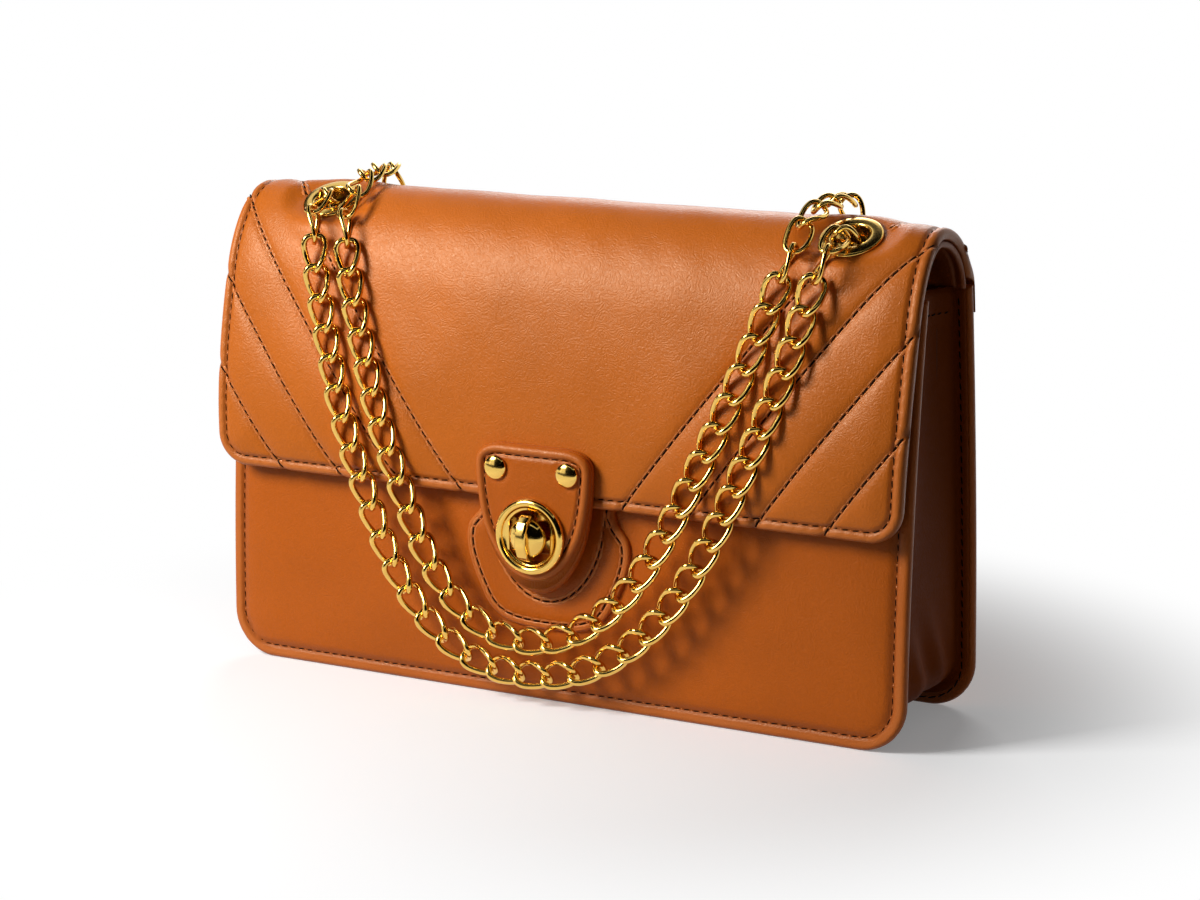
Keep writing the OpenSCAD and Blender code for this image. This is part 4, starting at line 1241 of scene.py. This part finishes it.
def make_tab():
    """The lock tab with its backing, and the path of its row of stitches."""
    centre = np.array([0, LOCK_H])
    face_line = half_outline(TAB_SHARES, TAB_W / 2, TAB_FACE_LOW, TAB_TOP)
    back_line = half_outline(TAB_SHARES, TAB_W / 2, TAB_BACK_LOW, TAB_TOP)
    face_r = ray_radius(face_line, centre, RAY_TURNS)
    back_r = ray_radius(back_line, centre, RAY_TURNS)
    hole = slot_radius(TAB_HOLE_R, RING_HOLE_HALF + 0.3, 1.5)
    x, z = ray_rows(face_r, hole, centre, 1.0)
    distance = outline_distance(x, z, face_line)
    face = np.stack([x, TAB_FACE_Y + edge_drop(distance, TAB_ROLL_R) + tab_face(distance, x, z), z], -1)
    side_r = face_r + (back_r - face_r) * TAB_FRONT_T / TAB_T
    middle = TAB_FACE_Y + TAB_FRONT_T
    back = [
        lock_turn(hole, middle),
        lock_turn(side_r - 1, middle),
        lock_turn(side_r - 0.2, middle - 0.1),
        lock_turn(side_r, middle - 0.4),
    ]
    plain = np.zeros((len(back), len(RAY_TURNS)))
    # Painted shade along the tab's row of stitches
    marks = {
        "painted_shade": np.concatenate([0.5 * dent(distance - TAB_SEAM, 0.8), plain]),
        "edge": np.concatenate([dent(distance - TAB_ROLL_R, 1.3), plain]),
    }
    mesh = loops(np.concatenate([face, np.array(back)]), close_rows=True)
    piece = new_piece("tab_leather", mesh, [leather()], marks)
    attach(piece, "flap")
    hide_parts("lock_tab")

    behind = middle + 0.1
    depth = TAB_T - TAB_FRONT_T - 0.1
    hole = slot_radius(TAB_BACK_HOLE_R, RING_HOLE_HALF + 0.3, 2)
    profile = [(0.5, 0), (0.15, 0.2), (0, 0.6), (0, depth - 0.6), (0.2, depth - 0.15), (0.6, depth)]
    sides = [lock_turn(side_r + (back_r - side_r) * d / depth - i, behind + d) for i, d in profile]
    rows = np.array([lock_turn(hole, behind)] + sides + [lock_turn(hole, behind + depth)])
    piece = new_piece("tab_backing_leather", loops(rows, close_rows=True), [leather()])
    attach(piece, "flap")
    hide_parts("tab_backing")

    line = inset_line(face_line, TAB_SEAM)
    line = np.concatenate([line, line[:1]])
    y = TAB_FACE_Y + tab_face(np.full(len(line), TAB_SEAM), line[:, 0], line[:, 1])
    path = np.stack([line[:, 0], y, line[:, 1]], 1)
    return path, facing((0, -1, 0), path)


# Stitches


def tube(rings, sides, ring_at):
    """A capped tube: ring_at gives a ring's points at each share from -1 to 1."""
    turns = [2 * pi * j / sides for j in range(sides)]
    grid = [[ring_at(-1 + 2 * k / (rings - 1), a) for a in turns] for k in range(rings)]
    return loops(np.array(grid), caps=True)


def stitch_shape(length, width):
    """One thread from hole to hole, sunk at its ends."""
    def ring_at(u, a):
        r = width / 2 * (1 - 0.45 * abs(u) ** 4)
        up = 0.06 - 0.26 * abs(u) ** 4
        return u * length / 2, r * cos(a) * 1.1, up + r * sin(a) * 0.8

    return tube(7, 6, ring_at)


def pucker_shape(width):
    """A small raised fold of leather between two stitches."""
    def ring_at(u, a):
        r = 0.27 * (1 - 0.75 * u * u)
        return r * cos(a), u * width, -0.02 + r * sin(a) * 0.9

    return tube(5, 6, ring_at)


def seam_roll(path, normals, pitch, side):
    """The leather rolled up along one side of a seam, drawn in at each needle hole."""
    steps = path_lengths(path)
    at = np.linspace(0, steps[-1], int(round(steps[-1] / pitch)) * 6 + 1)
    centre = along_path(path, steps, at)
    up = along_path(normals, steps, at)
    up = up / np.linalg.norm(up, axis=1)[:, None]
    way = np.gradient(centre, axis=0)
    way = way - np.sum(way * up, 1)[:, None] * up
    way = way / np.maximum(np.linalg.norm(way, axis=1), 1e-9)[:, None]
    out = np.cross(up, way)
    ends = smooth_step(0, 1.5, at) * smooth_step(steps[-1], steps[-1] - 1.5, at)
    radius = ROLL_R * (1 - 0.3 * np.abs(np.cos(pi * at / pitch)) ** 6) * (0.05 + 0.95 * ends)
    turns = 2 * pi * np.arange(ROLL_SIDES) / ROLL_SIDES
    reach = np.cos(turns) * np.where(np.cos(turns) * side > 0.01, ROLL_SPREAD, 1.0)
    ring = reach[None, :, None] * out[:, None] + np.sin(turns)[None, :, None] * up[:, None]
    middle = centre + side * ROLL_OUT * out - ROLL_SINK * up
    return loops(middle[:, None] + radius[:, None, None] * ring, caps=True)


def laid_on(shape, path, normals, steps, at, lean):
    """A small shape laid along a path at a distance, and turned a little across it."""
    points, faces = shape
    up = along_path(normals, steps, at)
    up = up / np.linalg.norm(up)
    way = along_path(path, steps, at + 0.6) - along_path(path, steps, at - 0.6)
    way = way - (way @ up) * up
    way = way / max(np.linalg.norm(way), 1e-9)
    side = np.cross(up, way)
    length_way = way * cos(lean) + side * sin(lean)
    width_way = side * cos(lean) - way * sin(lean)
    centre = along_path(path, steps, at)
    return centre + points[:, :1] * length_way + points[:, 1:2] * width_way + points[:, 2:] * up, faces


def make_stitches(name, runs, body, pucker=True, bend=False):
    """Stitches laid end to end along paths on sewn leather, with the leather puckered up beside them."""
    sizes = bpy.context.scene.bag_sizes
    gap, width = sizes.stitch_gap / MM, sizes.thread / MM
    fold = pucker_shape(width * 0.9)
    meshes, indices = [], []
    for path, normals in runs:
        steps = path_lengths(path)
        count = max(1, int(round(steps[-1] / (sizes.stitch / MM + gap))))
        pitch = steps[-1] / count
        stitch = stitch_shape(pitch - gap, width)
        # The rolls and puckers beside each seam take the paler leather, a painted highlight along the seam
        made = [(seam_roll(path, normals, pitch, side), 1) for side in (-1, 1) if pucker]
        for i in range(count):
            made.append((laid_on(stitch, path, normals, steps, (i + 0.5) * pitch, STITCH_LEAN), 0))
            if pucker and (i + 1) * pitch <= steps[-1] - 0.5:
                made.append((laid_on(fold, path, normals, steps, (i + 1) * pitch, PUCKER_LEAN), 1))
        for mesh, index in made:
            meshes.append(mesh)
            indices += [index] * len(mesh[1])
    piece = new_piece(name, join(*meshes), [thread(), pucker_highlight_leather()], None, indices)
    if bend:
        bend_over_hinge(piece)
    else:
        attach(piece, body)


def panel_seam(front):
    """The row of stitches round a panel, just on its sewn face."""
    half = BODY_W / 2 - PANEL_SEAM
    path, _ = tray_path(half, PANEL_SEAM, BODY_H - 5, CORNER_R - PANEL_SEAM, 1.5)
    y, _, _ = panel_surface(front, path[:, 0], path[:, 1])
    points = np.stack([path[:, 0], y, path[:, 1]], 1)
    return points, facing((0, -1 if front else 1, 0), path)


def on_flap(x, run):
    """Points and normals on the sewn flap, and how far each is from a grommet's axis."""
    rise, _, _ = flap_rise(x, run)
    points, near = press_round_grommets(flap_points(x, run, rise), SEAT_SINK, SEAT_REACH)
    _, _, tilt = flap_at(run)
    return points, np.stack([0 * tilt, -np.sin(tilt), np.cos(tilt)], -1), near


def clear_of_grommets(points, normals, near):
    """Splits a row of stitches where a grommet covers it."""
    clear = near > GROMMET_R + 0.8
    cuts = np.nonzero(np.diff(clear.astype(int)))[0] + 1
    found = []
    for part in np.split(np.arange(len(points)), cuts):
        if clear[part[0]] and len(part) > 3:
            found.append((points[part], normals[part]))
    return found


def flap_seams():
    """The rows round the flap, up its chevrons and along its lap."""
    half = BODY_W / 2 - FLAP_SEAM
    path, _ = tray_path(half, FLAP_SEAM, FLAP_RUN - 3, FLAP_CORNER_R - FLAP_SEAM, 1.2)
    run = path[:, 1]
    x = path[:, 0] * (flap_half(run) - FLAP_SEAM) / half
    runs = clear_of_grommets(*on_flap(x, run))
    slope = np.tan(CHEVRON_ANGLE)
    for side in (-1, 1):
        for i in range(CHEVRON_LINES):
            start = CHEVRON_FIRST + i * CHEVRON_STEP
            reach = (BODY_W / 2 + 0.2 - start) / slope
            run = np.arange(0.8, min(reach, FLAP_RUN - 8), 1.2)
            points, normals, near = on_flap(side * (start + run * slope), run)
            runs += clear_of_grommets(points + 0.22 * normals, normals, near)
    x = np.arange(-BODY_W / 2 + 5, BODY_W / 2 - 4.9, 1.5)
    points, normals, _ = on_flap(x, np.full(len(x), FLAP_RUN - LAP_SEAM))
    return runs + [(points, normals)]


def gusset_seams():
    """Hem rows across the gusset's top ends."""
    runs = []
    share = np.linspace(0.04, 0.96, 30)
    z = np.full(len(share), BODY_H - 8.0)
    front = front_y(z, BOARD_DEEP) + GUSSET_T + GUSSET_BEND
    back = back_y(z, BOARD_DEEP) - GUSSET_T - GUSSET_BEND
    y = front + (back - front) * share
    half = BODY_W / 2 - GUSSET_INSET
    for side in (-1, 1):
        x = side * (half + HEM_T - gusset_fold(np.full(len(share), half), share, z))
        runs.append((np.stack([x, y, z], 1), facing((side, 0, 0), share)))
    return runs


def flange_seam():
    """The rows that sew the gusset's flanges to the panels, on the gusset's side."""
    inset = FLANGE_INSET + 1.7
    path, _ = tray_path(BODY_W / 2 - inset, inset, BODY_H - 3, CORNER_R - inset, 1.5)
    x, z = path[:, 0], path[:, 1]
    deep = BOARD_DEEP + GUSSET_T + 0.1
    front = np.stack([x, front_y(z, deep), z], 1)
    back = np.stack([x, back_y(z, deep), z], 1)
    return [(front, facing((0, 1, 0), path)), (back, facing((0, -1, 0), path))]


# Metal


def make_ring():
    """The lock's eyelet: a rounded rim, a sunk face and a collar through the tab."""
    hole = slot_radius(RING_HOLE_R, RING_HOLE_HALF, RING_HOLE_DROP)
    half = RING_BAND / 2
    rim = [(RING_R - 0.25, 0), (RING_R, 0.25)]
    for a in np.linspace(0.12, 2.75, 15):
        rim.append((RING_R - half + half * cos(a), 0.4 + (RING_T - 0.4) * sin(a) ** 0.85))
    inner = [(0.9, RING_FACE), (0.45, RING_FACE - 0.05), (0.12, RING_FACE - 0.2), (0, RING_FACE - 0.5),
             (0, -RING_COLLAR), (0.6, -RING_COLLAR), (0.7, 0)]
    rows = [lock_turn(radius, RING_BACK_Y - h) for radius, h in rim]
    rows += [lock_turn(hole + out, RING_BACK_Y - h) for out, h in inner]
    piece = new_piece("eyelet_ring", loops(np.array(rows), close_rows=True), [gold()])
    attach(piece, "flap")
    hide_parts("lock_ring")


def make_knob():
    """A domed knob with an upright grip that swells at its middle."""
    dome = [(KNOB_R * cos(a), 0.8 + (KNOB_DOME - 0.8) * sin(a)) for a in np.linspace(0, pi / 2 - 0.02, 14)]
    stem = [(0.01, -KNOB_SHAFT), (KNOB_STEM_R, -KNOB_SHAFT), (KNOB_STEM_R, 0)]
    profile = stem + [(KNOB_R - 0.2, 0), (KNOB_R, 0.25)] + dome
    body = lathe(profile, (0, KNOB_BACK_Y, LOCK_H), (0, -1, 0))
    turns = np.radians(GRIP_TURNS + [-a for a in reversed(GRIP_TURNS[:-1])])
    outline = [(KNOB_DEEP * max(cos(a), 0) ** KNOB_FULLNESS, KNOB_GRIP_L / 2 * sin(a)) for a in turns]
    half = KNOB_GRIP_T / 2
    rows = []
    for u in [-1 + 2 * k / 12 for k in range(13)]:
        x = half * np.sign(u) * abs(u) ** 0.6
        over = max(0, (abs(x) - half + GRIP_SOFT) / GRIP_SOFT)
        drawn = GRIP_SOFT * (1 - np.sqrt(max(0, 1 - over**2)))
        sunk = drawn + GRIP_WAIST * (abs(x) / half) ** 2
        rows.append([(x, KNOB_BACK_Y - max(f - sunk, 0), LOCK_H + h * (1 - drawn / 8)) for f, h in outline])
    grid = np.array(rows)
    grip = shell(grid, grid * [1, 0, 1] + [0, KNOB_BACK_Y, 0])
    piece = new_piece("turn_grip", join(body, grip), [gold()])
    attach(piece, "knob")
    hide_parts("turn_knob")


def make_rivets():
    """Two domed rivets through the tab."""
    profile = [(RIVET_STEM_R, -RIVET_STEM), (RIVET_STEM_R, 0), (RIVET_R - 0.15, 0)]
    for a in np.linspace(0.02, pi / 2 - 0.01, 14):
        profile.append((RIVET_R * cos(a), 0.35 + RIVET_DOME * sin(a) ** 0.9))
    heads = []
    for side in (-1, 1):
        heads.append(lathe(profile, (side * RIVET_HALF_GAP, TAB_FACE_Y + 0.3, RIVET_H), (0, -1, 0), 64))
    piece = new_piece("dome_rivets", join(*heads), [gold()])
    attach(piece, "flap")
    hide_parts("tab_rivets")


def make_grommets():
    """Wide dished eyelets with their barrels turned down through the flap."""
    top = GROMMET_T
    low = -GROMMET_BARREL
    inner = GROMMET_HOLE_R
    profile = [(inner, low), (inner, top - 1.0)]
    for a in np.linspace(0.2, pi / 2, 6):
        profile.append((inner + 0.9 * (1 - cos(a)), top - 1.0 + 0.9 * sin(a)))
    profile += [(inner + 2.4, top), (GROMMET_R - 1.5, top - 0.12)]
    for a in np.linspace(0.25, pi / 2, 7):
        profile.append((GROMMET_R - 1.0 + sin(a), 0.15 + (top - 0.35) * cos(a)))
    profile += [(GROMMET_R - 0.1, 0), (inner + 1.0, 0), (inner + 1.0, low)]
    for pair in GROMMET_PAIRS:
        seats = [seat for seat in grommet_places() if seat[0] == pair["node"]]
        rings = [lathe(profile, centre, up) for _, centre, up in seats]
        piece = new_piece(pair["name"], join(*rings), [gold("Brushed gold", 0.08)])
        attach(piece, "flap")
        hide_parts(pair["node"])


def full_power(value, fullness):
    """A power that keeps the sign."""
    return np.sign(value) * np.abs(value) ** fullness


def link_line(twist, count, link):
    """Even points on a curb link's centre line, about its middle."""
    a = np.linspace(0, 2 * pi, 1440, endpoint=False)
    width = link["half_w"] * full_power(np.sin(a), link["fullness"])
    length = link["half_l"] * full_power(np.cos(a), link["fullness"])
    turn = radians(twist) * full_power(np.cos(a), TWIST_FULLNESS)
    line = np.stack([width * np.cos(turn), width * np.sin(turn), length], 1)
    closed = np.concatenate([line, line[:1]])
    steps = path_lengths(closed)
    return along_path(closed, steps, np.linspace(0, steps[-1], count, endpoint=False))


def handedness(points):
    """Which way a link twists, and by how much."""
    return float(np.mean(points[:, 0] * points[:, 1] * points[:, 2]))


def link_shape(twist, link):
    """A smooth wire bent into a curb link, with slightly flattened flanks."""
    soft = link_line(twist, LINK_COUNT, link)
    for _ in range(2):
        soft = 0.5 * soft + 0.25 * (np.roll(soft, 1, 0) + np.roll(soft, -1, 0))
    way = np.roll(soft, -1, 0) - np.roll(soft, 1, 0)
    way = way / np.linalg.norm(way, axis=1)[:, None]
    out = soft - np.sum(soft * way, 1)[:, None] * way
    out = out / np.linalg.norm(out, axis=1)[:, None]
    over = np.cross(way, out)
    turns = 2 * pi * np.arange(LINK_SIDES) / LINK_SIDES
    wide = np.cos(turns)[None, :, None]
    high = LINK_FLATTENING * np.sin(turns)[None, :, None]
    rows = soft[:, None] + link["wire_r"] * (wide * out[:, None] + high * over[:, None])
    return loops(rows, close_rows=True)


def islands(node_name):
    """The separate solids of a CAD node, as arrays of their corners in making units."""
    work = bmesh.new()
    work.from_mesh(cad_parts[node_name].data)
    bmesh.ops.remove_doubles(work, verts=work.verts, dist=1e-6)
    left, found = set(work.verts), []
    while left:
        group, queue = [], [left.pop()]
        while queue:
            corner = queue.pop()
            group.append(corner)
            for e in corner.link_edges:
                other = e.other_vert(corner)
                if other in left:
                    left.remove(other)
                    queue.append(other)
        found.append(np.array([tuple(v.co) for v in group]) / MM - [0, FRAME_Y, 0])
    work.free()
    return sorted(found, key=lambda p: tuple(np.round(p.mean(0), 3)))


def make_chain(node_name, body, link):
    """Smooth links in the places of the node's own, each with its twist, and slim at both ends."""
    known = [handedness(link_line(twist, 240, FIXED_LINK)) for twist in LINK_TWISTS]
    shapes = [link_shape(twist, link) for twist in LINK_TWISTS]
    end_shapes = [link_shape(twist, FIXED_LINK) for twist in LINK_TWISTS]
    places = islands(node_name)
    links = []
    for i, corners in enumerate(places):
        centre = corners.mean(0)
        _, axes = np.linalg.eigh(np.cov((corners - centre).T))
        long_way, wide_way = axes[:, 2], axes[:, 1]
        turned = np.stack([wide_way, np.cross(long_way, wide_way), long_way], 1)
        sign = handedness((corners - centre) @ turned)
        best = int(np.argmin([abs(sign - k) for k in known]))
        points, faces = (end_shapes if i in (0, len(places) - 1) else shapes)[best]
        links.append((points @ turned.T + centre, faces))
    piece = new_piece(node_name.replace("chain", "curb_chain"), join(*links), [gold()])
    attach(piece, body)
    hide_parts(node_name)


# Operators


class BAG_OT_stage(bpy.types.Operator):
    """Sets up the floor, the white surroundings, the lamps, the dark cards and the camera."""

    bl_idname = "bag.stage"
    bl_label = "Stage"

    def execute(self, context):
        make_floor()
        make_world()
        make_lamps()
        make_cards()
        make_camera()
        return {"FINISHED"}


def plain_mesh(name, corners, material):
    """One flat face of the stage."""
    mesh = bpy.data.meshes.new(name)
    mesh.from_pydata([tuple(c) for c in corners], [], [tuple(range(len(corners)))])
    mesh.materials.append(material)
    thing = bpy.data.objects.new(name, mesh)
    bpy.context.scene.collection.objects.link(thing)
    return thing


def seen_rays(tree):
    """One for rays from the camera, from gloss and through glass."""
    path = node(tree, "ShaderNodeLightPath").outputs
    both = maths(tree, "MAXIMUM", path["Is Camera Ray"], path["Is Glossy Ray"])
    return maths(tree, "MAXIMUM", both, path["Is Transmission Ray"])


def plain_material(name, rough):
    """A material without any sheen, and its shader."""
    material = bpy.data.materials.new(name)
    material.use_nodes = True
    shader = material.node_tree.nodes["Principled BSDF"]
    shader.inputs["Roughness"].default_value = rough
    shader.inputs["Specular IOR Level"].default_value = 0.0
    return material, shader


def make_floor():
    """A white floor that keeps the bag's shadow and fades into the white beyond."""
    material, shader = plain_material("White floor", 0.9)
    tree = material.node_tree
    seen = seen_rays(tree)
    shade = blend_colour(tree, seen, FLOOR_UNSEEN, FLOOR_SEEN)
    tree.links.new(shade, shader.inputs["Base Color"])
    place = node(tree, "ShaderNodeTexCoord").outputs["Object"]
    far = node(tree, "ShaderNodeVectorMath", {0: place}, operation="LENGTH").outputs["Value"]
    span = {"Value": far, "From Min": FLOOR_FADE[0], "From Max": FLOOR_FADE[1]}
    fade = node(tree, "ShaderNodeMapRange", span, interpolation_type="SMOOTHSTEP").outputs[0]
    white = node(tree, "ShaderNodeEmission", {"Color": WHITE, "Strength": seen})
    level = maths(tree, "MULTIPLY", seen, FLOOR_LIFT)
    lift = node(tree, "ShaderNodeEmission", {"Color": WHITE, "Strength": level})
    lifted = node(tree, "ShaderNodeAddShader", {0: shader.outputs[0], 1: lift.outputs[0]})
    mixed = node(tree, "ShaderNodeMixShader", {0: fade, 1: lifted.outputs[0], 2: white.outputs[0]})
    tree.links.new(mixed.outputs[0], tree.nodes["Material Output"].inputs["Surface"])
    corners = [(sx * FLOOR_HALF, sy * FLOOR_HALF, 0) for sx, sy in QUARTERS]
    plain_mesh("studio_floor", corners, material)


def make_world():
    """White where it is seen, and a plain soft grey where it lights."""
    world = bpy.data.worlds.new("Studio")
    bpy.context.scene.world = world
    world.use_nodes = True
    tree = world.node_tree
    tree.nodes.clear()
    soft = node(tree, "ShaderNodeBackground", {"Color": WHITE, "Strength": WORLD_LIGHT})
    seen = node(tree, "ShaderNodeBackground", {"Color": WHITE, "Strength": 1.0})
    mixed = node(tree, "ShaderNodeMixShader", {0: seen_rays(tree), 1: soft.outputs[0], 2: seen.outputs[0]})
    out = node(tree, "ShaderNodeOutputWorld", {"Surface": mixed.outputs[0]})
    out.is_active_output = True


LAMPS = (
    # name, place, target, width, height, watts, in metres
    ("key_lamp", (-0.39, -0.5, 0.47), (0, 0, 0.09), 0.26, 0.26, 5.7),
    ("fill_lamp", (-0.85, -1.25, 0.4), (0, 0, 0.1), 0.6, 0.8, 1.5),
    ("back_lamp", (-0.5, 1.4, 0.9), (0, 0, 0.1), 0.8, 0.6, 7.0),
)


def make_lamps():
    """Soft rectangular lamps, each aimed at its target."""
    for name, place, target, width, height, watts in LAMPS:
        data = bpy.data.lights.new(name, "AREA")
        data.shape = "RECTANGLE"
        data.size = width
        data.size_y = height
        data.energy = watts
        lamp = bpy.data.objects.new(name, data)
        lamp.location = place
        lamp.rotation_mode = "QUATERNION"
        lamp.rotation_quaternion = (Vector(target) - Vector(place)).to_track_quat("-Z", "Y")
        bpy.context.scene.collection.objects.link(lamp)


CARDS = (
    # name, centre, target, width, height, in metres
    ("front_card", (0.3, -2.4, 1.25), (0.3, 0, 1.25), 5.0, 2.5),
    ("left_card", (-2.4, -0.2, 1.4), (0, -0.2, 1.4), 4.4, 2.0),
    ("right_card", (2.2, -0.3, 1.25), (0, -0.3, 1.25), 4.4, 2.4),
    ("over_card", (0.2, 0, 2.4), (0, 0, 0.1), 3.6, 3.2),
    ("low_card", (0.1, -1.75, 0.004), (0.1, -1.75, 1), 4.4, 2.7),
)


def make_cards():
    """Dark cards that only reflections see, as round polished metal needs."""
    material, shader = plain_material("Dark card", 1.0)
    shader.inputs["Base Color"].default_value = CARD_COLOUR
    for name, centre, target, width, height in CARDS:
        turn = (Vector(target) - Vector(centre)).to_track_quat("-Z", "Y")
        corners = [(sx * width / 2, sy * height / 2, 0) for sx, sy in QUARTERS]
        card = plain_mesh(name, [Vector(centre) + turn @ Vector(c) for c in corners], material)
        card.visible_camera = False
        card.visible_diffuse = False
        card.visible_shadow = False
        card.visible_transmission = False


def make_camera():
    """The camera at the photograph's viewing angle."""
    data = bpy.data.cameras.new("bag_camera")
    data.lens = CAMERA_LENS
    data.sensor_width = CAMERA_SENSOR
    data.sensor_fit = "HORIZONTAL"
    camera = bpy.data.objects.new("bag_camera", data)
    level = cos(CAMERA_ELEVATION)
    back = np.array([sin(CAMERA_AZIMUTH) * level, -cos(CAMERA_AZIMUTH) * level, sin(CAMERA_ELEVATION)])
    camera.location = to_frame(np.array(CAMERA_TARGET) + CAMERA_DISTANCE * back)[0]
    camera.rotation_mode = "QUATERNION"
    camera.rotation_quaternion = Vector(-back).to_track_quat("-Z", "Y")
    bpy.context.scene.collection.objects.link(camera)
    bpy.context.scene.camera = camera
    bpy.context.scene.view_settings.view_transform = "Standard"


class BAG_OT_panels(bpy.types.Operator):
    """Makes the padded front and back panels with their turned and stitched edges."""

    bl_idname = "bag.panels"
    bl_label = "Panels"

    def execute(self, context):
        make_panel(True)
        make_panel(False)
        make_stitches("panel_stitches", [panel_seam(True), panel_seam(False)], "body")
        return {"FINISHED"}


class BAG_OT_gusset(bpy.types.Operator):
    """Makes the folded gusset and its hems."""

    bl_idname = "bag.gusset"
    bl_label = "Gusset"

    def execute(self, context):
        make_gusset()
        runs = gusset_seams() + flange_seam()
        make_stitches("gusset_stitches", runs, "body", pucker=False)
        return {"FINISHED"}


class BAG_OT_lining(bpy.types.Operator):
    """Makes the cloth lining, its pocket, and the finish of the boards behind them."""

    bl_idname = "bag.lining"
    bl_label = "Lining"

    def execute(self, context):
        make_lining()
        make_pocket()
        finish_nodes(("front_board", "back_board", "base_board"), board())
        return {"FINISHED"}


class BAG_OT_flap(bpy.types.Operator):
    """Makes the quilted flap, its lining and its rows of stitches."""

    bl_idname = "bag.flap"
    bl_label = "Flap"

    def execute(self, context):
        make_flap_cover()
        make_flap_lining()
        make_stitches("flap_stitches", flap_seams(), "flap", bend=True)
        return {"FINISHED"}


class BAG_OT_tab(bpy.types.Operator):
    """Makes the lock tab and the shield patch under it."""

    bl_idname = "bag.tab"
    bl_label = "Tab and patch"

    def execute(self, context):
        make_stitches("patch_stitches", make_patch(), "body")
        make_stitches("tab_stitches", [make_tab()], "flap")
        return {"FINISHED"}


class BAG_OT_lock(bpy.types.Operator):
    """Makes the turn lock and the rivets."""

    bl_idname = "bag.lock"
    bl_label = "Turn lock"

    def execute(self, context):
        make_ring()
        make_knob()
        make_rivets()
        finish_nodes(("lock_base",), gold())
        finish_nodes(("lock_washer", "rivet_caps", "ring_back_plate"), plain_brass())
        return {"FINISHED"}


class BAG_OT_chain(bpy.types.Operator):
    """Makes the grommets and the chain strap."""

    bl_idname = "bag.chain"
    bl_label = "Grommets and chain"

    def execute(self, context):
        make_grommets()
        for node_name, (body, link) in CHAINS.items():
            make_chain(node_name, body, link)
        finish_nodes(("grommet_washers",), plain_brass())
        return {"FINISHED"}


def finish_nodes(names, material):
    """Gives CAD nodes that stay as they are a better material."""
    for name in names:
        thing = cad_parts[name]
        thing.data.materials.clear()
        thing.data.materials.append(material)


STEPS = (
    BAG_OT_stage,
    BAG_OT_panels,
    BAG_OT_gusset,
    BAG_OT_lining,
    BAG_OT_flap,
    BAG_OT_tab,
    BAG_OT_lock,
    BAG_OT_chain,
)


class BAG_PT_maker(bpy.types.Panel):
    """The bag's sizes, colours and makers in the sidebar."""

    bl_idname = "BAG_PT_maker"
    bl_label = "Chain shoulder bag"
    bl_space_type = "VIEW_3D"
    bl_region_type = "UI"
    bl_category = "Bag"

    def draw(self, context):
        for group in (context.scene.bag_sizes, context.scene.bag_colours, context.scene.bag_finish):
            box = self.layout.box()
            for key in group.bl_rna.properties.keys():
                if key not in {"rna_type", "name"}:
                    box.prop(group, key)
        for step in STEPS:
            self.layout.operator(step.bl_idname)


CLASSES = (BagSizes, BagColours, BagFinish, *STEPS, BAG_PT_maker)


def register():
    """Adds the bag's classes and its settings to Blender."""
    for each in CLASSES:
        bpy.utils.register_class(each)
    bpy.types.Scene.bag_sizes = PointerProperty(type=BagSizes)
    bpy.types.Scene.bag_colours = PointerProperty(type=BagColours)
    bpy.types.Scene.bag_finish = PointerProperty(type=BagFinish)


def unregister():
    """Takes them out again."""
    for key in ("bag_sizes", "bag_colours", "bag_finish"):
        delattr(bpy.types.Scene, key)
    for each in reversed(CLASSES):
        bpy.utils.unregister_class(each)


def main():
    """Makes the bag piece by piece."""
    register()
    bpy.ops.bag.stage()
    bpy.ops.bag.panels()
    bpy.ops.bag.gusset()
    bpy.ops.bag.lining()
    bpy.ops.bag.flap()
    bpy.ops.bag.tab()
    bpy.ops.bag.lock()
    bpy.ops.bag.chain()


if __name__ == "__main__":
    main()
